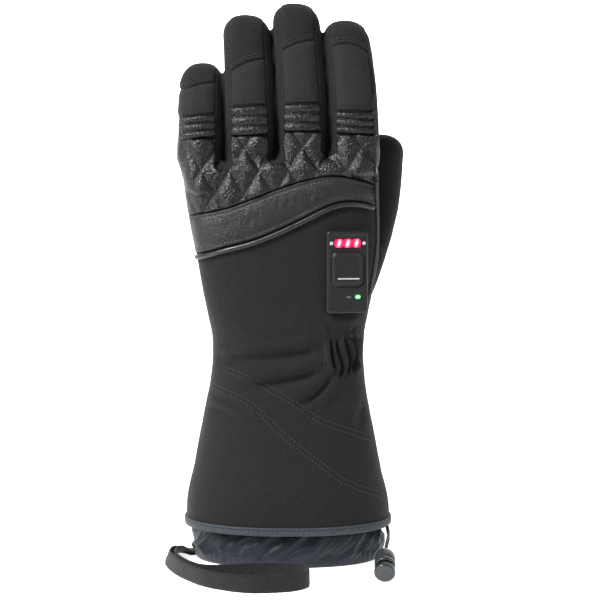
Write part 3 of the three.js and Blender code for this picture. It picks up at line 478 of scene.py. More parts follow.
def strand(side):
    route = np.array(CORD_ROUTE)
    along = np.gradient(route, axis=0)
    apart = np.cross(along, [1.0, 0.0, 0.0])
    apart /= np.linalg.norm(apart, axis=1)[:, None]
    return route + apart * side * (CORD_RADIUS + GAP / 2)


for cord_name, side in (("drawcord_front", 1), ("drawcord_back", -1)):
    points = metres(strand(side))
    curve = bpy.data.curves.new(cord_name + "_braid", "CURVE")
    curve.dimensions = "3D"
    curve.bevel_depth = CORD_RADIUS / 1000.0
    curve.bevel_resolution = 5
    curve.resolution_u = 6
    spline = curve.splines.new("NURBS")
    spline.points.add(len(points) - 1)
    for point, place in zip(spline.points, points):
        point.co = (*place, 1.0)
    spline.order_u = 4
    spline.use_endpoint_u = True
    made = bpy.data.objects.new(cord_name + "_braid", curve)
    bpy.context.scene.collection.objects.link(made)
    curve.materials.append(SHOCK_CORD)
    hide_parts(cord_name)
    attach(made, "glove")


# The padded shell: lofts of the hand, fingers and thumb, grown together by a fine remesh
def shell_parts(grow, bottom, count):
    heights = np.concatenate([[bottom], np.arange(HEM_HEIGHT + 2, KNUCKLE_HEIGHT, 2.5)])
    dome = KNUCKLE_HEIGHT + np.sin(np.radians(np.linspace(0, 88, 10))) * (DOME_HEIGHT + grow)
    heights = np.concatenate([heights, dome])
    parts = [loft(rings_of(body_at(heights, grow), heights, 2 * count))]
    tips = np.sin(np.radians(np.linspace(0, 88, 16))) * (TIP_LENGTH + grow)
    for finger in FINGERS:
        root, start = finger[2] - ROOT_DROP - GAP, finger[3] - TIP_LENGTH
        levels = np.concatenate([np.arange(root, start - 0.5, 2.0), start + tips])
        parts.append(loft(rings_of(finger_at(finger, levels, grow), levels, count)))
    start = THUMB_TIP - TIP_LENGTH
    levels = np.concatenate([np.arange(THUMB_ROOT, start - 0.5, 2.0), start + tips])
    parts.append(loft(rings_of(thumb_at(levels, grow), levels, count)))
    return parts


def edges_of(faces):
    pairs = np.concatenate([faces[:, [i, (i + 1) % 4]] for i in range(4)])
    return np.unique(np.sort(pairs, axis=1), axis=0)


def relaxed(vertices, edges, rounds):
    """Smooths a mesh without shrinking it much: each round pulls points together, then pushes them back."""
    degree = np.bincount(edges.ravel(), minlength=len(vertices))[:, None]
    out = vertices.copy()
    for turn in range(2 * rounds):
        total = np.zeros_like(out)
        np.add.at(total, edges[:, 0], out[edges[:, 1]])
        np.add.at(total, edges[:, 1], out[edges[:, 0]])
        out += (total / np.maximum(degree, 1) - out) * (0.5 if turn % 2 == 0 else -0.49)
    return out


def normals_of(vertices, faces):
    corners = vertices[faces]
    across = np.cross(corners[:, 2] - corners[:, 0], corners[:, 3] - corners[:, 1])
    out = np.zeros_like(vertices)
    for i in range(4):
        np.add.at(out, faces[:, i], across)
    return out / np.maximum(np.linalg.norm(out, axis=1), 1e-9)[:, None]


VOXEL = 1.15
core = make_object("shell_core", *joined(shell_parts(0.0, HEM_HEIGHT - 4, 72)), SOFTSHELL)
remesh = core.modifiers.new("remesh", "REMESH")
remesh.mode = "VOXEL"
remesh.voxel_size = VOXEL / 1000.0
applied(core)
skin, skin_faces = arrays_of(core)
skin_faces = np.array([face for face in skin_faces if len(face) == 4])
bpy.data.objects.remove(core)
skin = relaxed(skin, edges_of(skin_faces), 6)


# Smooth seeded noise and distances to lines
LATTICE = np.random.default_rng(7).random((32, 32, 32))


def noise(points, size):
    """Smooth noise from -1 to 1 with lumps of about size millimetres."""
    place = points / size
    cell = np.floor(place).astype(int)
    t = ease(place - cell)
    total = np.zeros(len(points))
    for corner in range(8):
        step = np.array([corner & 1, corner >> 1 & 1, corner >> 2 & 1])
        weight = np.prod(np.where(step == 1, t, 1 - t), axis=1)
        i = (cell + step) % 32
        total += weight * LATTICE[i[:, 0], i[:, 1], i[:, 2]]
    return 2 * total - 1


def to_line(points, line):
    """Distance from points to a line through others, and how far along it the nearest place is."""
    line = np.asarray(line, dtype=float)
    best, where, gone = np.full(len(points), 1e9), np.zeros(len(points)), 0.0
    for a, b in zip(line[:-1], line[1:]):
        along = b - a
        length = math.hypot(*along)
        t = np.clip(((points - a) @ along) / length ** 2, 0, 1)
        away = np.linalg.norm(points - a - t[:, None] * along, axis=1)
        nearer = away < best
        best = np.where(nearer, away, best)
        where = np.where(nearer, gone + t * length, where)
        gone += length
    return best, where


def to_outline(points, outline):
    """Signed distance to a closed outline in a plane, negative inside."""
    outline = np.asarray(outline, dtype=float)
    away, _ = to_line(points, np.vstack([outline, outline[:1]]))
    inside = np.zeros(len(points), dtype=bool)
    for a, b in zip(outline, np.roll(outline, -1, axis=0)):
        if a[1] == b[1]:
            continue
        crosses = (a[1] > points[:, 1]) != (b[1] > points[:, 1])
        x = a[0] + (points[:, 1] - a[1]) / (b[1] - a[1]) * (b[0] - a[0])
        inside ^= crosses & (points[:, 0] < x)
    return np.where(inside, -away, away)


def curve_through(points, count):
    """Many points on a smooth curve through a few."""
    rows = np.column_stack([np.arange(len(points)), np.asarray(points, dtype=float)])
    return read(rows, np.linspace(0, len(points) - 1, count))


# What is seen in the photograph is set on the glove by lines of sight
smooth_tree = BVHTree.FromPolygons([tuple(v) for v in skin], [tuple(int(i) for i in f) for f in skin_faces])


def seen(points):
    """The x and z where the lines of sight through points of the picture meet the glove."""
    found = [smooth_tree.ray_cast(Vector(EYE), Vector(sight(u, v)).normalized())[0] for u, v in points]
    return [(place[0], place[2]) for place in found if place is not None]


# Folds of the padded cloth: ends in the picture, depth and half width in millimetres
CREASES = [
    ([(222, 360), (245, 360), (270, 357.5), (300, 354), (320, 350)], 3.2, 3.6),
    ([(210, 345.5), (224, 345), (240, 345)], 1.2, 1.8),
    ([(250, 386), (272, 384), (296, 379), (321, 371)], 3.7, 3.4),
    ([(300, 405), (314, 397), (326, 385), (334, 374)], 3.2, 2.4),
    ([(207, 391), (218, 397), (230, 403), (248, 412)], 1.5, 2.0),
    ([(205, 404), (222, 412), (245, 423)], 1.5, 2.6),
    ([(276, 300), (292, 306), (310, 313), (322, 317)], 1.8, 3.0),
    ([(236, 312), (258, 326), (286, 334), (312, 336)], 0.8, 5.0),
    ([(376, 238), (381, 243), (385, 250)], 0.9, 1.5),
    ([(366, 396), (361, 415), (359, 432)], 1.3, 3.0),
    ([(300, 424), (318, 412), (340, 404), (354, 398)], 1.0, 4.0),
    ([(344, 385), (338, 398), (330, 408)], 1.1, 2.4),
    ([(216, 470), (236, 478), (262, 482)], 0.6, 6.0),
    ([(330, 448), (344, 462), (352, 480)], 0.5, 6.0),
    ([(220, 148), (225, 162), (222, 173)], 1.4, 1.1),
    ([(230, 152), (226, 163), (230, 172)], 1.2, 1.0),
    ([(272, 138), (277, 150), (274, 159)], 1.4, 1.1),
    ([(282, 140), (278, 150), (282, 159)], 1.2, 1.0),
    ([(322, 135), (328, 146), (325, 154)], 1.4, 1.1),
    ([(334, 137), (329, 146), (333, 154)], 1.2, 1.0),
]
RIDGES = [
    ([(290, 304), (308, 315), (326, 320), (350, 320), (362, 315)], 1.4, 3.2),
    ([(228, 352), (260, 350), (290, 346), (318, 339)], 1.1, 3.4),
    ([(236, 373), (262, 375), (290, 371), (320, 361)], 1.2, 3.8),
    ([(215, 404), (232, 409), (248, 418)], 0.8, 2.2),
    ([(256, 396), (284, 392), (306, 388), (322, 379)], 0.9, 3.6),
]
# Valleys between the folds that the elastic gathers at the index side, with their depths
GATHERS = [
    ([(331.2, 337), (332, 348), (333.3, 360.6), (337.5, 373)], 3.0),
    ([(336.7, 336), (338.8, 352), (343, 366), (340, 381)], 2.8),
    ([(344.4, 334), (348.4, 350), (350.4, 364), (347, 376)], 3.0),
    ([(352, 333.5), (356.6, 350), (354.8, 366), (352, 374)], 2.8),
    ([(359.2, 334), (361.3, 348), (361, 362)], 2.2),
    ([(327, 323), (329.5, 331), (333.5, 338)], 0.8),
    ([(356.5, 325), (352.5, 330), (350, 337)], 0.7),
]


def pressed(points, facing):
    """How far the folds move the cloth on the back of the hand, in millimetres along its normal."""
    flat = points[:, [0, 2]]
    moved = np.zeros(len(points))
    front = np.clip(facing * 2, 0, 1)
    for rows, sign in ((CREASES, -1), (RIDGES, 1)):
        for line, depth, width in rows:
            away, along = to_line(flat, seen(curve_through(line, 12)))
            fade = ease(np.clip(np.minimum(along, along.max() - along) / 8.0, 0, 1))
            moved += sign * depth * (0.35 + 0.65 * fade) * np.exp(-(away / width) ** 2)
    away, ends, deep = np.full(len(points), 99.0), np.zeros(len(points)), np.zeros(len(points))
    for line, depth in GATHERS:
        near, along = to_line(flat, seen(curve_through(line, 9)))
        fade = ease(np.clip(np.minimum(along, along.max() - along) / 5.0, 0, 1))
        moved -= depth * fade * np.exp(-(near / 1.0) ** 1.5)
        ends = np.where(near < away, fade, ends)
        deep = np.where(near < away, depth, deep)
        away = np.minimum(near, away)
    moved += 0.62 * deep * ends * np.exp(-((away - 2.4) / 1.4) ** 2)
    return moved * front


HEM_FLARE, HEM_SWELL = 1.0, 0.7


def cloth_swell(points):
    return 0.28 * noise(points + 40, 21.0) + 0.14 * noise(points + 90, 9.0) + 0.05 * noise(points + 10, 3.6)


# Finer mesh where the elastic gathers the cloth
gather_corners = np.array(seen([(300, 318), (362, 318), (362, 400), (300, 400)]))
gather_low, gather_high = gather_corners.min(axis=0) - 2, gather_corners.max(axis=0) + 2
shell = make_object("softshell_shell", skin, skin_faces, SOFTSHELL)
mesh = bmesh.new()
mesh.from_mesh(shell.data)
mesh.verts.ensure_lookup_table()
low_verts = [v for v in mesh.verts if v.co.z * 1000 < HEM_HEIGHT + 0.2]
bmesh.ops.delete(mesh, geom=low_verts, context="VERTS")
mesh.faces.ensure_lookup_table()
chosen = set()
for face in mesh.faces:
    x, y, z = (np.array(face.calc_center_median()) * 1000 - AXIS)
    if x > gather_low[0] and y < 6 and gather_low[1] < z < gather_high[1]:
        chosen.update(face.edges)
bmesh.ops.subdivide_edges(mesh, edges=list(chosen), cuts=1, use_grid_fill=True)
mesh.to_mesh(shell.data)
mesh.free()
places, _ = arrays_of(shell)
normal = np.empty(len(shell.data.vertices) * 3)
shell.data.vertex_normals.foreach_get("vector", normal)
normal = normal.reshape(-1, 3)
above_hem = places[:, 2] - HEM_HEIGHT
flare = HEM_FLARE * np.exp(-above_hem / 22.0) + HEM_SWELL * np.exp(-((above_hem - 16.0) / 11.0) ** 2)
places = places + normal * (pressed(places, -normal[:, 1]) + cloth_swell(places) + flare)[:, None]
shell.data.vertices.foreach_set("co", metres(places).ravel())
shell.data.polygons.foreach_set("use_smooth", [True] * len(shell.data.polygons))
shell.data.update()
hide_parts("glove_body", "finger_index", "finger_middle", "finger_ring", "finger_little", "thumb")
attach(shell, "glove")

# From here on pieces are laid on the folded shell
skin, shell_faces = arrays_of(shell)
skin_faces = np.array([face for face in shell_faces if len(face) == 4])
skin_tree = BVHTree.FromPolygons([tuple(v) for v in skin], shell_faces)
skin_normals = normals_of(skin, skin_faces)
laid = [(skin, shell_faces)]


def patch(name, inside, lift, material, stands_for=(), rounded=0.7, base=-0.25, levels=1, reach=None):
    """A piece cut from the shell where inside(points) is negative, raised by lift(points, depth)."""
    near = inside(skin) < 2.0
    if reach is not None:
        near &= reach(skin, skin_normals)
    faces = skin_faces[near[skin_faces].all(axis=1)]
    used, faces = np.unique(faces, return_inverse=True)
    made = make_object(name, skin[used], faces.reshape(-1, 4), material)
    finer = made.modifiers.new("finer", "SUBSURF")
    finer.levels = levels
    finer.render_levels = levels
    applied(made)
    points, faces = arrays_of(made)
    faces = np.array(faces)
    normal = normals_of(points, faces)
    away = inside(points)
    slope = np.stack([(inside(points + step) - away) / 0.05 for step in np.eye(3) * 0.05], axis=1)
    slope -= (slope * normal).sum(axis=1)[:, None] * normal
    steep = np.linalg.norm(slope, axis=1)
    kept = faces[(away[faces] < 0).any(axis=1)]
    edge = np.zeros(len(points), dtype=bool)
    edge[kept.ravel()] = True
    edge &= away >= 0
    shift = slope / np.maximum(steep, 0.3)[:, None] ** 2 * away[:, None]
    long = np.linalg.norm(shift, axis=1)
    shift *= (np.minimum(long, 1.2) / np.maximum(long, 1e-9))[:, None]
    points = np.where(edge[:, None], points - shift, points)
    depth = np.where(edge, 0.0, np.maximum(-away, 0) / np.maximum(steep, 0.3))
    step = np.clip(depth / rounded, 0, 1)
    height = base + (lift(points, depth) - base) * np.sqrt(1 - (1 - step) ** 2) * 0.75 + \
        (lift(points, depth) - base) * 0.25
    points = points + normal * height[:, None]
    # A rim goes down from the edge into the shell
    pairs = np.sort(np.concatenate([kept[:, [i, (i + 1) % 4]] for i in range(4)]), axis=1)
    single, counts = np.unique(pairs, axis=0, return_counts=True)
    single = {tuple(pair) for pair in single[counts == 1]}
    ordered = [
        (a, b) for face in kept for a, b in zip(face, np.roll(face, -1)) if tuple(sorted((a, b))) in single
    ]
    rim = sorted({i for pair in ordered for i in pair})
    index = {v: len(points) + k for k, v in enumerate(rim)}
    foot = points[rim] + normal[rim] * (base - height[rim])[:, None]
    points = np.vstack([points, foot])
    all_faces = [tuple(face) for face in kept] + [(b, a, index[a], index[b]) for a, b in ordered]
    used, flat = np.unique(np.concatenate([np.ravel(f) for f in all_faces]), return_inverse=True)
    all_faces = flat.reshape(-1, 4)
    old = made.data
    bpy.data.objects.remove(made)
    bpy.data.meshes.remove(old)
    made = make_object(name, points[used], all_faces, material)
    if stands_for:
        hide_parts(*stands_for)
    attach(made, "glove")
    laid.append((points[used], [tuple(int(i) for i in f) for f in all_faces]))
    return made


def finger_frame(finger, points):
    """Across and half width at each point's height, and the middle of the finger's depth there."""
    section = finger_at(finger, np.minimum(points[:, 2], finger[3] - TIP_LENGTH), 0)
    return points[:, 0] - section[:, 0], section[:, 2], section[:, 1]


# Leather over the knuckles and the band below it; x and z of their edges
SEAM_X, SIDE_SEAM, SEAM_INSET, NOTCH_DROP = 49.6, 3.0, 4.6, 7.4
LEATHER, PUFF, PIPING_RADIUS = 1.2, 1.8, 1.5
BAND_ROWS = [
    (-0.1, 0.75, 0.53), (0.08, 0.77, 0.54), (0.24, 0.805, 0.584), (0.36, 0.852, 0.618),
    (0.51, 0.913, 0.682), (0.63, 0.952, 0.743), (0.75, 0.974, 0.804), (0.83, 0.968, 0.822),
    (0.92, 0.945, 0.815), (1.02, 0.905, 0.78),
]
across = np.linspace(BAND_ROWS[0][0], BAND_ROWS[-1][0], 60)
band_edges = read(BAND_ROWS, across)
edge_x = across * (LITTLE_SIDE + INDEX_SIDE) - LITTLE_SIDE
band_top = np.column_stack([edge_x, WRIST_HEIGHT + band_edges[:, 0] * (KNUCKLE_HEIGHT - WRIST_HEIGHT)])
piping_line = np.column_stack([edge_x, WRIST_HEIGHT + band_edges[:, 1] * (KNUCKLE_HEIGHT - WRIST_HEIGHT)])
FAR = 90.0


def within_sides(points):
    """Signed distance past the side seam at the index side and past the side of the hand at the other."""
    return np.maximum(points[:, 0] - SEAM_X, np.where(points[:, 0] < 0, points[:, 1] - SIDE_SEAM, -FAR))


def quilt_outline():
    columns = [
        (MIDDLES[f[0]] - f[1] / 2 + SEAM_INSET, MIDDLES[f[0]] + f[1] / 2 - SEAM_INSET, f[6], f[2])
        for f in reversed(FINGERS)
    ]
    top = [(-FAR, columns[0][2])]
    for i, (left, right, seam, crotch) in enumerate(columns):
        top.append((right, seam))
        if i + 1 < len(columns):
            following = columns[i + 1]
            radius, centre = (following[0] - right) / 2, (following[0] + right) / 2
            middle = crotch - NOTCH_DROP + radius
            for turn in np.radians(np.linspace(180, 360, 15)):
                top.append((centre + radius * math.cos(turn), middle + radius * math.sin(turn)))
            top.append((following[0], following[2]))
    top[-1] = (FAR, columns[-1][2])
    low = [(x, z + GAP) for x, z in band_top]
    return [(-FAR, low[0][1])] + low + [(FAR, low[-1][1])] + top[::-1]


QUILT = quilt_outline()
QUILT_X = 0.101 * (LITTLE_SIDE + INDEX_SIDE) - LITTLE_SIDE
QUILT_Z = WRIST_HEIGHT + 1.005 * (KNUCKLE_HEIGHT - WRIST_HEIGHT)
DIAMOND_WIDTH, DIAMOND_HEIGHT = 16.4, 26.4


def in_quilt(points):
    return np.maximum(to_outline(points[:, [0, 2]], QUILT), within_sides(points))


def diamond_share(x, z):
    u, v = (x - QUILT_X) / DIAMOND_WIDTH, (z - QUILT_Z) / DIAMOND_HEIGHT
    return u + v, u - v


def quilt_lift(points, depth):
    wander = 0.35 * noise(points + 5, 14.0)
    a, b = diamond_share(points[:, 0] + wander, points[:, 2])
    scale = 1 / math.hypot(1 / DIAMOND_WIDTH, 1 / DIAMOND_HEIGHT)
    away = np.minimum(np.abs(a - np.round(a)), np.abs(b - np.round(b))) * scale
    puff = PUFF * 1.1 * (1 - np.exp(-(away / 2.2) ** 1.2))
    across = points[:, 0] + body_section(points[:, 2])[:, 2]
    full = GAP + LEATHER * 0.7 + puff + 0.12 * noise(points, 3.1)
    return 0.3 + (full - 0.3) * ease(np.clip(across / 9.0, 0.08, 1))


patch("quilted_leather", in_quilt, quilt_lift, GRAIN_LEATHER, ("quilted_panel",),
      rounded=1.2, reach=lambda p, n: n[:, 1] < 0.35)


def in_band(points):
    low = np.array([(x, z + 2.2) for x, z in piping_line])
    outline = [*low, *band_top[::-1]]
    return np.maximum(to_outline(points[:, [0, 2]], outline), within_sides(points))


def band_lift(points, depth):
    flat = points[:, [0, 2]]
    top, _ = to_line(flat, band_top)
    low, _ = to_line(flat, piping_line)
    crown = 0.45 * ease(np.clip(np.minimum(top, low - 2) / 7.0, 0, 1))
    stitched = -0.35 * np.exp(-((top - 2.0) / 0.55) ** 2) - 0.35 * np.exp(-((low - 4.3) / 0.55) ** 2)
    inward = ease(np.clip(np.minimum(top, low - 2) / 4.0, 0, 1))
    creased = 0.14 * noise(points * [1.0, 1.0, 0.35] + 60, 2.4) * inward
    across = points[:, 0] + body_section(points[:, 2])[:, 2]
    return 0.3 + (LEATHER * 0.9 + crown + stitched + creased) * ease(np.clip(across / 7.0, 0.08, 1))


patch("band_smooth", in_band, band_lift, SMOOTH_LEATHER, ("leather_band",), rounded=0.9,
      reach=lambda p, n: n[:, 1] < 0.5)

# Padded ribs across the root of each finger, and the cloth panel and cap above them
RIB_COUNT, RIB_RISE = 3, 1.7
# Rise of each finger's ribs towards the thumb, per millimetre across
TILTS = {"little": 0.1, "ring": 0.05, "middle": 0.02, "index": -0.04}
# Height of the seam below each fingertip cap as places in the picture, from left to right
CAP_SEAMS = {
    "index": [(331, 47), (339, 44.6), (348, 44), (358, 47), (366, 52.5), (372, 60)],
    "middle": [(279, 53), (287, 48), (297.5, 43.5), (308, 41), (319, 40)],
    "ring": [(231, 72), (238, 67), (247, 62.5), (257, 60), (268, 58.5)],
    "little": [(180, 93), (188, 88.5), (198, 85), (207, 83.5), (216, 83)],
}


def panel_sides(finger, points):
    """Signed distance past the seams at both sides of the panel on a finger's back."""
    x, half, y_middle = finger_frame(finger, points)
    left = -half + (SEAM_INSET if finger[0] != "little" else -2.0)
    right = half - (SEAM_INSET if finger[0] != "index" else 3.6)
    back = points[:, 1] - y_middle + (1.0 if finger[0] == "little" else 2.0)
    return np.maximum(np.maximum(left - x, x - right), back)


for finger in FINGERS:
    name, *_, seam, ribs = finger
    cap_line = np.array(seen(CAP_SEAMS[name]))
    rib_top = seam + ribs

    def level(points, name=name):
        return points[:, 2] - TILTS[name] * (points[:, 0] - MIDDLES[name])

    def cap_height(points, cap_line=cap_line):
        return np.interp(points[:, 0], cap_line[:, 0], cap_line[:, 1])

    def own(points, normals, finger=finger):
        x, half, _ = finger_frame(finger, points)
        return (np.abs(x) < half + 1.5) & (points[:, 2] > finger[2] - 8)

    def in_ribs(points, finger=finger, low=seam + GAP, high=rib_top):
        height = level(points)
        x, half, _ = finger_frame(finger, points)
        past = np.maximum(panel_sides(finger, points), 3.0 - half - x)
        return np.maximum(past, np.maximum(low - height, height - high))

    def rib_lift(points, depth, low=seam + GAP, pitch=(ribs - GAP) / RIB_COUNT):
        wave = np.abs(np.sin(np.pi * (level(points) - low) / pitch))
        return GAP + LEATHER * 0.6 + RIB_RISE * wave ** 0.7 + 0.12 * noise(points, 1.8)

    patch("ribs_" + name, in_ribs, rib_lift, GRAIN_LEATHER, ("knuckle_ribs_" + name,),
          rounded=1.2, levels=2, reach=own)

    def in_panel(points, finger=finger, low=rib_top + 0.35):
        ends = np.maximum(low - level(points), points[:, 2] - cap_height(points) + 0.3)
        return np.maximum(panel_sides(finger, points), ends)

    def in_cap(points, finger=finger):
        return np.maximum(panel_sides(finger, points), cap_height(points) + 0.25 - points[:, 2])

    def panel_lift(points, depth):
        return 0.45 + 0.5 * ease(np.clip(depth / 5.0, 0, 1)) + 0.08 * noise(points, 4.0)

    def cap_lift(points, depth):
        return 0.7 + 0.35 * ease(np.clip(depth / 4.0, 0, 1)) + 0.08 * noise(points + 9, 4.0)

    patch("panel_" + name, in_panel, panel_lift, PANEL_CLOTH, rounded=1.1, reach=own)
    patch("cap_" + name, in_cap, cap_lift, SOFTSHELL, rounded=1.0, reach=own)

laid_tree = BVHTree.FromPolygons(*[list(part) for part in joined(laid)])


def swept(name, path, radius, sides, material, stands_for=()):
    """A tube along many points, with closed ends."""
    path = np.asarray(path)
    along = np.gradient(path, axis=0)
    along /= np.linalg.norm(along, axis=1)[:, None]
    out = np.array([0.0, -1.0, 0.0])
    rings = []
    for k, (place, ahead) in enumerate(zip(path, along)):
        side = np.cross(ahead, out)
        side /= np.linalg.norm(side)
        top = np.cross(side, ahead)
        end = min(k, len(path) - 1 - k)
        size = radius * math.sqrt(1 - (1 - min((end + 0.3) / 3.0, 1.0)) ** 2)
        rings.append([
            place + size * (math.cos(t) * side + math.sin(t) * top)
            for t in np.radians(np.arange(sides) * 360.0 / sides)
        ])
    made = make_object(name, *loft(rings), material)
    if stands_for:
        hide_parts(*stands_for)
    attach(made, "glove")
    return made


def on_glove(line, tree, out=0.0):
    """Points of a line in x and z set on the front of the glove, raised by out, and their normals."""
    places, normals = [], []
    for x, z in line:
        place, normal, _, _ = tree.ray_cast(Vector((x, -200, z)), Vector((0, 1, 0)))
        if place is not None:
            places.append(np.array(place))
            normals.append(np.array(normal))
    places, normals = np.array(places), np.array(normals)
    return places + normals * out, normals


# Glossy piping along the foot of the band
inner = (piping_line[:, 0] > -53.8) & (piping_line[:, 0] < SEAM_X - 0.5)
pipe_places, _ = on_glove(curve_through(piping_line[inner], 160), skin_tree, 0.9)
swept("piping_tube", pipe_places, PIPING_RADIUS, 12, PIPING_LEATHER, ("band_piping",))

# Raised side seam along the index edge of the back, down to the gauntlet, in the lighter panel cloth; its
# lighter colour here partly paints the highlight along the ridge
SIDE_SEAM_LINE = [
    (367.5, 52), (371.5, 68), (374, 89), (372.3, 104), (374.2, 120), (374.4, 140), (374.3, 160),
    (374.6, 184), (375.6, 208), (376.2, 232), (375, 252), (372, 274), (368.5, 292), (364.5, 308),
]
side_places, _ = on_glove(seen(curve_through(SIDE_SEAM_LINE, 150)), laid_tree, 0.15)
swept("side_seam_ridge", side_places, 0.6, 8, PANEL_CLOTH)

# Binding tape folded round the hem: offset from the hem's outline and height of each point of its section
HEM_TAPE = [
    (0.6, 23.3), (1.0, 23.95), (1.5, 23.9), (1.78, 23.4), (1.62, 22.75), (1.7, 22.2), (1.82, 21.3),
    (1.84, 20.4), (1.7, 19.75), (1.2, 19.35), (0.0, 19.25), (-1.6, 19.2), (-3.2, 19.2), (-4.1, 19.5),
    (-4.4, 20.2), (-4.3, 22.0), (-3.7, 22.6), (-1.8, 22.6),
]
TURNS = 300


def hem_ring(by, z, count=TURNS, base=HEM):
    return rings_of(grown(base[None, :], by), [z], count)[0]


tape_rings = [hem_ring(by, z) for by, z in HEM_TAPE]
tape = np.array(tape_rings)
tape += (0.12 * noise(tape.reshape(-1, 3), 11.0)).reshape(len(HEM_TAPE), TURNS, 1) * [0.6, 0.6, 1.0]


def closed_band(rings):
    """A loft whose last ring meets its first, as a folded strip round the hem does."""
    vertices, faces = loft(list(rings) + [rings[0]], caps=False)
    count = len(rings) * len(rings[0])
    return vertices[:count], [tuple(i % count for i in face) for face in faces]


made = make_object("hem_tape", *closed_band(tape), SLATE_TAPE)
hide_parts("hem_binding")
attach(made, "glove")

# Snow skirt: thin wrinkled nylon with a gathered channel of elastic along its lower edge
SKIRT_RISE, RIM_HEIGHT, SKIRT_ROOM = 24.0, 7.0, 5.2
# Height above the floor and how far the cloth stands out there
SKIRT_SECTION = [
    (0.0, 0.2), (0.6, 0.9), (2.0, 1.5), (4.0, 1.8), (7.0, 1.8), (12.0, 2.0), (17.0, 1.3), (20.2, 0.0),
    (30.0, -0.3), (44.5, -0.4),
]


def skirt_shape():
    heights = np.concatenate([np.linspace(0, 22, 56), np.linspace(23, HEM_HEIGHT + SKIRT_RISE, 12)])
    offsets = read(SKIRT_SECTION, heights)[:, 0]
    sections = grown(body_section(np.maximum(heights, HEM_HEIGHT)), -SKIRT_ROOM)
    count = 420
    outer = np.array(rings_of(sections, heights, count))
    outward = outer[:, :, :2] - outer[:, :, :2].mean(axis=1, keepdims=True)
    outward /= np.linalg.norm(outward, axis=2)[:, :, None]
    closed = np.concatenate([outer[:, :, :2], outer[:, :1, :2]], axis=1)
    ring_step = np.linalg.norm(np.diff(closed, axis=1), axis=2)
    gone = np.concatenate([np.zeros((len(heights), 1)), np.cumsum(ring_step, axis=1)[:, :-1]], axis=1)
    lean = gone - 1.15 * heights[:, None]
    rise = np.repeat(heights[:, None] * 0.35, count, axis=1) + 0.25 * gone
    flat = np.stack([lean, rise, outer[:, :, 1] * 0.1], axis=2).reshape(-1, 3)
    wrinkle = 1 - np.abs(noise(flat, 7.6)) * 2.4 + 0.4 * (1 - np.abs(noise(flat + 50, 4.4)) * 2)
    wrinkle = wrinkle.reshape(outer.shape[:2])
    free = ease(np.clip((heights - 1.5) / 6.0, 0, 1)) * (1 - ease(np.clip((heights - 22) / 12.0, 0, 1)))
    angle = np.linspace(0, 2 * np.pi, count, endpoint=False)
    gather = np.sin(angle * 74 + 2.5 * np.sin(angle * 7)) * 0.6 + np.sin(angle * 41 + 1.3) * 0.4
    rim = ease(np.clip(1 - np.abs(heights - 4.0) / 5.5, 0, 1))
    out = offsets[:, None] + 1.3 * wrinkle * free[:, None] + 0.16 * gather[None, :] * rim[:, None]
    outer[:, :, :2] += outward * out[:, :, None]
    inner = outer.copy()
    thick = np.where(heights < RIM_HEIGHT, 2.6, 0.7)
    thick = np.convolve(np.pad(thick, 2, mode="edge"), np.ones(5) / 5, mode="valid")
    inner[:, :, :2] -= outward * thick[:, None, None]
    inner[0, :, 2] = 0.1
    return outer, inner


skirt_outer, skirt_inner = skirt_shape()
made = make_object("skirt_cloth", *closed_band(list(skirt_inner[::-1]) + list(skirt_outer)), SKIRT_NYLON)
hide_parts("snow_skirt")
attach(made, "glove")

# Wrist leash: webbing on its edge. x and y as shares of the hem, quarter turns, thicknesses off the floor
LEASH_WIDTH, LEASH_THICKNESS = 9.5, 1.3
LEASH_ROWS = [
    (-0.937, 0.0, 0.0, 0.0), (-1.02, -0.02, 0.04, 0.0), (-1.1, -0.1, 0.24, 0.0),
    (-1.155, -0.34, 0.6, 0.0), (-1.165, -0.72, 0.84, 0.0), (-1.09, -1.14, 0.95, 0.0),
    (-0.95, -1.55, 1.0, 0.0), (-0.73, -1.96, 1.0, 0.0), (-0.38, -2.24, 1.0, 0.0),
    (-0.03, -2.2, 1.0, 0.0), (0.13, -2.06, 1.0, 0.0), (0.19, -1.87, 1.0, 0.0),
    (0.15, -1.68, 1.0, 0.0), (0.03, -1.57, 1.0, 0.0), (-0.2, -1.53, 1.0, 0.0),
    (-0.5, -1.6, 1.0, 0.0), (-0.76, -1.63, 1.0, 0.0), (-0.905, -1.45, 1.0, 0.0),
    (-1.04, -1.1, 1.05, 0.0), (-1.115, -0.71, 1.16, 0.0), (-1.107, -0.37, 1.4, 0.2),
    (-1.065, -0.16, 1.76, 0.9), (-1.005, -0.07, 1.96, 1.4), (-0.937, -0.04, 2.0, 1.4),
]


def leash_rings():
    rows = curve_through(LEASH_ROWS, 420)
    turn = np.radians(90 * np.clip(rows[:, 2], 0, 2))
    middle = LEASH_WIDTH / 2 * np.sin(turn) + LEASH_THICKNESS / 2 * np.abs(np.cos(turn))
    height = middle + LEASH_THICKNESS * rows[:, 3]
    centre = np.column_stack([rows[:, 0] * HEM[2], rows[:, 1] * HEM[4], height])
    along = np.gradient(centre, axis=0)
    along[:, 2] = 0
    along /= np.linalg.norm(along, axis=1)[:, None]
    across = np.column_stack([-along[:, 1] * np.cos(turn), along[:, 0] * np.cos(turn), np.sin(turn)])
    through = np.cross(along, across)
    gone = np.concatenate([[0], np.cumsum(np.linalg.norm(np.diff(centre, axis=0), axis=1))])
    section = []
    for side in (1, -1):
        for share in np.linspace(-0.96, 0.96, 9):
            section.append((side * share, side, 1 - 0.35 * abs(share) ** 8))
        section.append((side * 1.0, 0.0, 1.0))
    rings = []
    for k in range(len(centre)):
        pick = 0.04 * math.sin(gone[k] * 2 * math.pi / 1.5)
        rings.append([
            centre[k] + across[k] * wide * (LEASH_WIDTH / 2 + pick * (abs(wide) > 0.9))
            + through[k] * thick * LEASH_THICKNESS / 2 * full
            for wide, thick, full in section
        ])
    return rings


made = make_object("leash_webbing", *loft(leash_rings()), WEBBING)
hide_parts("wrist_leash")
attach(made, "glove")

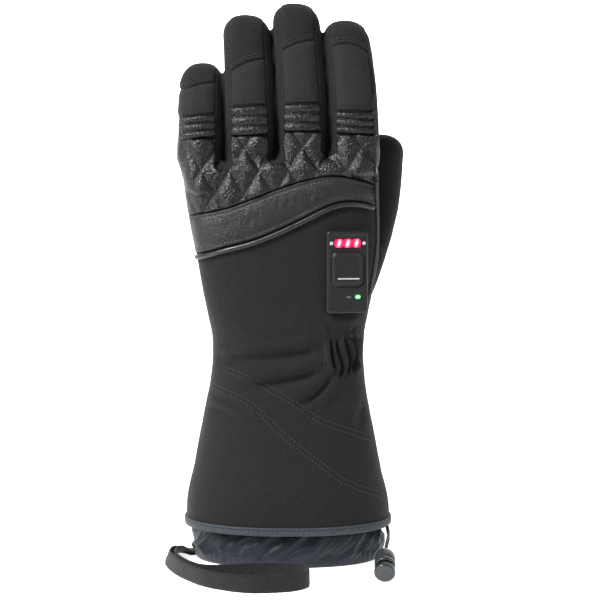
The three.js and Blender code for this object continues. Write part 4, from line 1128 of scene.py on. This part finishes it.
# Cord lock, turned from profiles of (radius, place along its axis) and laid in the part's own frame
LOCK_RADIUS, PLUNGER_HEAD, PLUNGER_TRAVEL = 5.8, 3.6, 2.2
LOCK_PITCH, LOCK_YAW, LOCK_SIDE, LOCK_FORWARD = 24.0, 4.0, 52.2, 72.6


def lock_points(points):
    pitch, yaw = math.radians(LOCK_PITCH - 90), math.radians(-LOCK_YAW)
    x, y, z = np.asarray(points, dtype=float).T
    y, z = y * math.cos(pitch) - z * math.sin(pitch), y * math.sin(pitch) + z * math.cos(pitch)
    x, y = x * math.cos(yaw) - y * math.sin(yaw), x * math.sin(yaw) + y * math.cos(yaw)
    lift = LOCK_RADIUS * math.cos(math.radians(LOCK_PITCH)) + GAP
    return np.stack([x + LOCK_SIDE, y - LOCK_FORWARD, z + lift], axis=1)


def turned(name, profile, node_name, body, steps=72):
    angle = np.arange(steps) * 2 * np.pi / steps
    circle = np.stack([np.cos(angle), np.sin(angle), np.zeros(steps)], axis=1)
    rings = [lock_points(circle * radius + [0, 0, place]) for radius, place in profile]
    made = make_object(name, *loft(rings), LOCK_PLASTIC)
    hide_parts(node_name)
    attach(made, body)
    return made


start = PLUNGER_HEAD + PLUNGER_TRAVEL + GAP
turned("lock_plunger", [
    (0.02, 0.25), (3.4, 0.25), (3.9, 0.12), (4.3, 0.0), (5.0, 0.05), (5.5, 0.35), (5.78, 0.9), (5.8, 1.6),
    (5.8, 2.6), (5.65, 3.2), (5.2, 3.55), (4.4, 3.6), (4.05, 3.7), (4.0, 4.0), (4.0, 11.4), (3.8, 11.6),
    (0.02, 11.6),
], "cord_lock_plunger", "plunger")
turned("lock_barrel", [
    (4.3, start + 8), (4.3, start + 0.5), (4.6, start + 0.1), (5.2, start), (5.6, start + 0.3),
    (5.8, start + 0.9), (5.8, start + 2.2), (5.5, start + 2.5), (5.5, start + 3.0), (5.75, start + 3.4),
    (5.7, start + 5.5), (5.6, start + 8.0), (5.35, start + 9.6), (4.8, start + 10.7), (4.0, start + 11.1),
    (2.5, start + 11.2), (2.25, start + 11.0), (2.2, start + 8.4), (0.02, start + 8.3),
], "cord_lock_barrel", "glove")

# Heater control: a moulded cover with a lamp window, a raised key and a small lamp
PANEL_WIDTH, PANEL_HEIGHT, PANEL_PROUD, PANEL_CORNER = 23.4, 46.0, 1.4, 2.4
PANEL_SIDE, PANEL_BELOW, PANEL_TURN = 33.4, 14.4, 11.0
panel_roof = np.interp(PANEL_SIDE, piping_line[:, 0], piping_line[:, 1])
panel_middle = panel_roof - PANEL_BELOW - PANEL_HEIGHT / 2


def front_of(x, z):
    _, _, left, right, front, _, square = body_section(z)[0]
    share = abs(x) / (left if x < 0 else right)
    return -front * (1 - share ** square) ** (1 / square)


PANEL_REACH = 0.45 * PANEL_WIDTH
panel_skin = min(front_of(PANEL_SIDE + by, panel_middle) for by in (-PANEL_REACH, 0, PANEL_REACH))
panel_front = panel_skin - GAP - PANEL_PROUD


def panel_points(points):
    """From the cover's own axes (across, up, out of the hand) to the glove's."""
    x, z, out = np.asarray(points, dtype=float).T
    turn = math.radians(PANEL_TURN)
    y = -out
    return np.stack([
        x * math.cos(turn) - y * math.sin(turn) + PANEL_SIDE,
        x * math.sin(turn) + y * math.cos(turn) + panel_front, z + panel_middle,
    ], axis=1)


def to_box(x, y, width, height, corner):
    """Signed distance to a rectangle with round corners."""
    dx, dy = np.abs(x) - width / 2 + corner, np.abs(y) - height / 2 + corner
    return np.hypot(np.maximum(dx, 0), np.maximum(dy, 0)) + np.minimum(np.maximum(dx, dy), 0) - corner


def step_at(distance, width):
    return ease(np.clip(0.5 - distance / width, 0, 1))


def moulding(name, width, height, corner, surface, depth, cell, material,
             stands_for=(), at=(0.0, 0.0), glow=None):
    """A small moulded plate on the cover: its outline is a rounded rectangle and surface(x, y) its face."""
    nx, ny = int(width / cell) + 1, int(height / cell) + 1
    xs, ys = np.linspace(-width / 2, width / 2, nx), np.linspace(-height / 2, height / 2, ny)
    x, y = [g.ravel() for g in np.meshgrid(xs, ys)]
    # Points outside the round corners are drawn in to them
    away = to_box(x, y, width, height, corner)
    inner_x = np.clip(x, -width / 2 + corner, width / 2 - corner)
    inner_y = np.clip(y, -height / 2 + corner, height / 2 - corner)
    reach = np.maximum(np.hypot(x - inner_x, y - inner_y), 1e-6)
    pull = np.where(away > 0, corner / reach, 1.0)
    x, y = inner_x + (x - inner_x) * pull, inner_y + (y - inner_y) * pull
    out = surface(x, y)
    firsts = [j * nx + i for j in range(ny - 1) for i in range(nx - 1)]
    faces = [(a, a + 1, a + nx + 1, a + nx) for a in firsts]
    ring = list(range(nx)) + [j * nx + nx - 1 for j in range(1, ny)]
    ring += [(ny - 1) * nx + i for i in range(nx - 2, -1, -1)] + [j * nx for j in range(ny - 2, 0, -1)]
    points = np.stack([x + at[0], y + at[1], out], axis=1)
    foot = points[ring] * [1, 1, 0] + [0, 0, -depth]
    count, around = len(points), len(ring)
    for k in range(around):
        following = (k + 1) % around
        faces.append((ring[following], ring[k], count + k, count + following))
    made = make_object(name, panel_points(np.vstack([points, foot])), faces, material)
    if glow is not None:
        lit = made.data.attributes.new("glow", "FLOAT", "POINT")
        lit.data.foreach_set("value", np.concatenate([glow(x, y), np.zeros(len(ring))]))
    if stands_for:
        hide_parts(*stands_for)
    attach(made, "glove")
    return made


KEY_ABOVE, WINDOW_ABOVE, CHARGE_SIDE, CHARGE_BELOW = 1.8, 16.2, 5.9, 13.9


def cover_face(x, y):
    edge = -to_box(x, y, PANEL_WIDTH, PANEL_HEIGHT, PANEL_CORNER)
    face = -0.75 + 0.75 * np.sqrt(1 - (1 - np.clip(edge / 0.9, 0, 1)) ** 2)
    face -= 0.25 * step_at(to_box(x, y - 0.6, PANEL_WIDTH - 2.6, PANEL_HEIGHT - 5.6, 2.2), 0.5)
    window = to_box(x, y - WINDOW_ABOVE, 15.6, 6.0, 1.8)
    face -= 0.75 * step_at(window, 0.5)
    key = to_box(x, y - KEY_ABOVE, 18.4, 19.8, 3.6)
    face -= 0.55 * np.exp(-(key / 0.32) ** 2)
    inner = to_box(x, y - KEY_ABOVE, 17.0, 18.4, 3.2)
    face += 1.05 * step_at(inner, 0.9) + 0.12 * step_at(inner, 8.0)
    face -= 0.3 * np.exp(-((to_box(x, y - KEY_ABOVE, 15.0, 16.4, 2.6)) / 0.28) ** 2)
    lamp = to_box(x - CHARGE_SIDE, y + CHARGE_BELOW, 3.8, 3.1, 1.2)
    face -= 0.55 * step_at(lamp, 0.4)
    return face


def lens_face(width, height):
    def face(x, y):
        fall = ((1.9 * x / width) ** 4 + (1.9 * y / height) ** 4) / 13
        return -0.35 + 0.35 * np.sqrt(np.maximum(1 - fall, 0))
    return face


moulding("control_cover", PANEL_WIDTH, PANEL_HEIGHT, PANEL_CORNER, cover_face, 5.6, 0.3,
         RUBBER, ("control_panel",))
LENS_PITCH = (15.2 - GAP) / 3


def slanted_glow(x, y):
    return np.exp(-((x - 0.22 * y) / 0.85) ** 2 - (y / 1.7) ** 2)


def round_glow(x, y):
    return np.exp(-(x / 1.1) ** 2 - (y / 0.8) ** 2)


for k in (1, 2, 3):
    moulding(f"lamp_red_{k}", LENS_PITCH, 4.9, 1.5, lens_face(LENS_PITCH, 5.0), 1.2, 0.25,
             RED_LAMP, (f"heat_led_{k}",), ((k - 2) * LENS_PITCH, WINDOW_ABOVE), slanted_glow)
moulding("lamp_green", 3.0, 2.3, 0.9, lens_face(3.0, 2.3), 1.2, 0.15,
         GREEN_LAMP, ("charge_led",), (CHARGE_SIDE, -CHARGE_BELOW), round_glow)


def flat_mark(name, width, height, corner, at, out, ink=WHITE_PRINT):
    def level_face(x, y):
        return np.full_like(x, out)

    moulding(name, width, height, corner, level_face, 0.6, 0.2, ink, (), at)


flat_mark("mark_square", 1.8, 1.8, 0.3, (-9.3, WINDOW_ABOVE), 0.02)
flat_mark("mark_round", 1.9, 1.9, 0.9, (9.3, WINDOW_ABOVE), 0.02)
flat_mark("mark_bar", 12.4, 0.75, 0.2, (0.3, KEY_ABOVE - 5.4), 0.98)
flat_mark("mark_dash", 2.6, 0.9, 0.3, (0.7, -CHARGE_BELOW - 0.1), -0.2, PALE_PRINT)

# Stitches: short threads laid along the seams
stitch_vertices, stitch_faces = {}, {}


def stitch_row(group, places, normals, pitch=2.7, length=1.7, radius=0.27, slant=0.0, start=0.5):
    places, normals = np.asarray(places), np.asarray(normals)
    gone = np.concatenate([[0], np.cumsum(np.linalg.norm(np.diff(places, axis=0), axis=1))])
    vertices, faces = stitch_vertices.setdefault(group, []), stitch_faces.setdefault(group, [])

    def between(rows, at):
        return np.array([np.interp(at, gone, rows[:, i]) for i in range(3)])

    for k, centre_at in enumerate(np.arange(start * pitch, gone[-1] - length / 2, pitch)):
        centre = between(places, centre_at)
        ahead = between(places, centre_at + 0.6) - between(places, centre_at - 0.6)
        out = between(normals, centre_at)
        out /= np.linalg.norm(out)
        ahead -= out * (ahead @ out)
        ahead /= np.linalg.norm(ahead)
        side = np.cross(out, ahead)
        lean = math.radians(slant if k % 2 == 0 else -slant)
        c, s = math.cos(lean), math.sin(lean)
        ahead, side = ahead * c + side * s, side * c - ahead * s
        first = len(vertices)
        for share, size in ((-1.0, 0.45), (-0.7, 0.95), (0.0, 1.0), (0.7, 0.95), (1.0, 0.45)):
            rise = radius * (0.55 - 1.1 * share ** 4) - 0.05
            for turn in np.radians(np.arange(6) * 60.0):
                vertices.append(tuple(
                    centre + ahead * share * length / 2 + out * (rise + radius * size * math.sin(turn))
                    + side * radius * size * math.cos(turn)
                ))
        for ring in range(4):
            for i in range(6):
                a, b = first + ring * 6 + i, first + ring * 6 + (i + 1) % 6
                faces.append((a, b, b + 6, a + 6))
        faces.append(tuple(first + i for i in range(5, -1, -1)))
        faces.append(tuple(first + 24 + i for i in range(6)))


def beside(line, by):
    """A line in a plane moved sideways by so many millimetres, to its left."""
    line = np.asarray(line, dtype=float)
    along = np.gradient(line, axis=0)
    along /= np.linalg.norm(along, axis=1)[:, None]
    return line + np.column_stack([-along[:, 1], along[:, 0]]) * by


def stitched(group, line, by=0.0, **settings):
    places, normals = on_glove(beside(line, by), laid_tree)
    if len(places) > 2:
        stitch_row(group, places, normals, **settings)


# Two pairs of rows cross the gauntlet
GAUNTLET_ROWS_SEEN = [
    [
        (219.9, 367), (243.8, 376.7), (269.3, 389.4), (294.8, 403.8), (315.5, 418), (339.4, 427.7),
        (363.4, 435.7), (373.7, 438.9),
    ],
    [
        (210.3, 383.9), (227.8, 392.6), (247, 402), (262.9, 415), (278.9, 430.9), (299.6, 448.4),
        (317.4, 461.6), (335.3, 475.7), (354.4, 485.9), (383.8, 495.4),
    ],
]
for row in GAUNTLET_ROWS_SEEN:
    line = seen(curve_through(row, 120))
    stitched("gauntlet", line, 1.3, pitch=2.3, length=1.5, radius=0.24)
    stitched("gauntlet", line, -1.3, pitch=2.3, length=1.5, radius=0.24, start=1.0)
# One row stands beside the gathers
gather_row = seen(curve_through([(324, 336), (325.3, 354), (323.5, 372)], 40))
stitched("gauntlet", gather_row, pitch=1.9, length=1.2, slant=12)
# Band: one row below its top edge and one above the piping
inside_x = (band_top[:, 0] > -57) & (band_top[:, 0] < SEAM_X - 1)
stitched("leather", curve_through(band_top[inside_x], 160), -2.0, pitch=2.2, length=1.5)
stitched("leather", curve_through(piping_line[inside_x], 160), 4.3, pitch=2.2, length=1.5)
# Quilting: zigzag rows along the lines of the diamonds
for direction in (1, -1):
    for number in range(-6, 12):
        height = np.linspace(-1.6, 1.6, 90)
        x = QUILT_X + DIAMOND_WIDTH * (number - direction * height)
        z = QUILT_Z + DIAMOND_HEIGHT * height
        line = np.column_stack([x, z])
        flat3 = np.column_stack([x, np.full_like(x, -15.0), z])
        inside = (in_quilt(flat3) < -1.2) & (np.abs(x + 4) < 54)
        if inside.sum() > 8:
            stitched("leather", line[inside], pitch=1.9, length=1.35, radius=0.24, slant=18)
# Fingers: rows above each cap seam and above the ribs, and down both side seams
for finger in FINGERS:
    name, width, _, tip, *_, seam, ribs = finger
    cap_line = np.array(seen(curve_through(CAP_SEAMS[name], 40)))
    middle = finger_at(finger, cap_line[:, 1], 0)
    left = middle[:, 0] - middle[:, 2] + (SEAM_INSET if name != "little" else 2)
    right = middle[:, 0] + middle[:, 2] - (SEAM_INSET if name != "index" else 3.5)
    keep = (cap_line[:, 0] > left) & (cap_line[:, 0] < right)
    stitched("fingers", cap_line[keep], 2.0, pitch=1.7, length=1.2, slant=35, radius=0.22)
    stitched("fingers", cap_line[keep], 3.4, pitch=1.7, length=1.2, slant=-35, radius=0.22)
    x = np.linspace(-1, 1, 30) * (width / 2 - SEAM_INSET - 1) + MIDDLES[name]
    line = np.column_stack([x, seam + ribs + 1.8 + TILTS[name] * (x - MIDDLES[name])])
    stitched("fingers", line, pitch=1.8, length=1.2, slant=30, radius=0.22)
    heights = np.linspace(seam + 1, tip - 9, 60)
    section = finger_at(finger, heights, 0)
    for seamless, side in (("little", -1), ("index", 1)):
        if name != seamless:
            line = np.column_stack([section[:, 0] + side * (section[:, 2] - SEAM_INSET + 1.1), heights])
            stitched("fingers", line, pitch=2.3, length=1.4, radius=0.22)
STITCH_GROUPS = [
    ("gauntlet", THREAD, "softshell"),
    ("leather", LEATHER_THREAD_PAINTED_HIGHLIGHT, "grain_leather"),
    ("fingers", THREAD, "softshell"),
]
for group, material, slot in STITCH_GROUPS:
    made = make_object("stitches_" + group, stitch_vertices[group], stitch_faces[group], material)
    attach(made, "glove")
# Hem tape: one row close to its upper edge, all the way round
hem_row = hem_ring(1.66, 22.75)
hem_row = np.vstack([hem_row, hem_row[:1]])
hem_out = hem_ring(2.66, 22.75)
hem_out = np.vstack([hem_out, hem_out[:1]]) - hem_row
stitch_row("hem", hem_row, hem_out, pitch=2.6, radius=0.26)
made = make_object("stitches_hem", stitch_vertices["hem"], stitch_faces["hem"], SHOCK_CORD)
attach(made, "glove")

# Studio: a white floor under soft lights
bpy.context.scene.view_settings.view_transform = "Standard"
floor_mesh = bpy.data.meshes.new("studio_floor")
backdrop_line = [(-9.0, 0.0), (2.0, 0.0)]
backdrop_line += [(2 + 3 * math.sin(t), 3 - 3 * math.cos(t)) for t in np.radians(np.arange(6, 91, 6))]
backdrop_line.append((5.0, 12.0))
floor_points = [(x, y, z) for y, z in backdrop_line for x in (-9.0, 9.0)]
floor_faces = [(2 * k, 2 * k + 1, 2 * k + 3, 2 * k + 2) for k in range(len(backdrop_line) - 1)]
floor_mesh.from_pydata(floor_points, [], floor_faces)
studio_floor = bpy.data.objects.new("studio_floor", floor_mesh)
bpy.context.scene.collection.objects.link(studio_floor)
floor_paper, paper_tree, paper_shader, paper_where = new_material(
    "floor_paper", 0.9, Specular_IOR_Level=0.1, Emission_Color=(1, 1, 1, 1)
)
# The paper is white under and behind the glove and dark in front, which keeps the shadows in its folds
place_on_paper = node(paper_tree, "ShaderNodeSeparateXYZ", {0: paper_where}).outputs["Y"]
white_share = node(paper_tree, "ShaderNodeMapRange", {0: place_on_paper, 1: -0.42, 2: -0.14}).outputs[0]
paper_noise = node(paper_tree, "ShaderNodeTexNoise", {"Vector": paper_where, "Scale": 900.0, "Detail": 3.0})
fibres = paper_noise.outputs["Fac"]
paper_tone = node(
    paper_tree, "ShaderNodeMath", {0: fibres, 1: 0.02, 2: white_share}, operation="MULTIPLY_ADD",
)
paper_colour = ramp(paper_tree, paper_tone.outputs[0], [(0.0, grey(0.12)), (1.0, grey(0.88))])
paper_tree.links.new(paper_colour, paper_shader.inputs["Base Color"])
paper_glow = node(
    paper_tree, "ShaderNodeMath", {0: white_share, 1: 0.78, 2: 0.04}, operation="MULTIPLY_ADD",
)
paper_tree.links.new(paper_glow.outputs[0], paper_shader.inputs["Emission Strength"])
bump(paper_tree, paper_shader, [(fibres, 0.02, 0.1)])
floor_mesh.materials.append(floor_paper)

world = bpy.data.worlds.new("studio")
bpy.context.scene.world = world
world.use_nodes = True
world.node_tree.nodes["Background"].inputs["Color"].default_value = (1, 1, 1, 1)
world.node_tree.nodes["Background"].inputs["Strength"].default_value = 0.17


def area_light(name, place, aim, size, watts):
    data = bpy.data.lights.new(name, "AREA")
    data.shape = "RECTANGLE"
    data.size, data.size_y = size
    data.energy = watts
    made = bpy.data.objects.new(name, data)
    bpy.context.scene.collection.objects.link(made)
    made.location = metres(place)
    towards = Vector(aim) - Vector(place)
    made.rotation_euler = towards.to_track_quat("-Z", "Y").to_euler()


area_light("key_light", (-700, -640, 1050), (0, 0, 190), (0.4, 0.4), 24)
area_light("edge_light", (-1100, -520, 380), (0, 0, 190), (0.3, 0.8), 4.5)
area_light("fill_light", (950, -800, 500), (0, 0, 160), (0.6, 1.0), 3.5)
area_light("back_light", (0, 2600, 2400), (0, 4800, 900), (3.0, 1.5), 160)
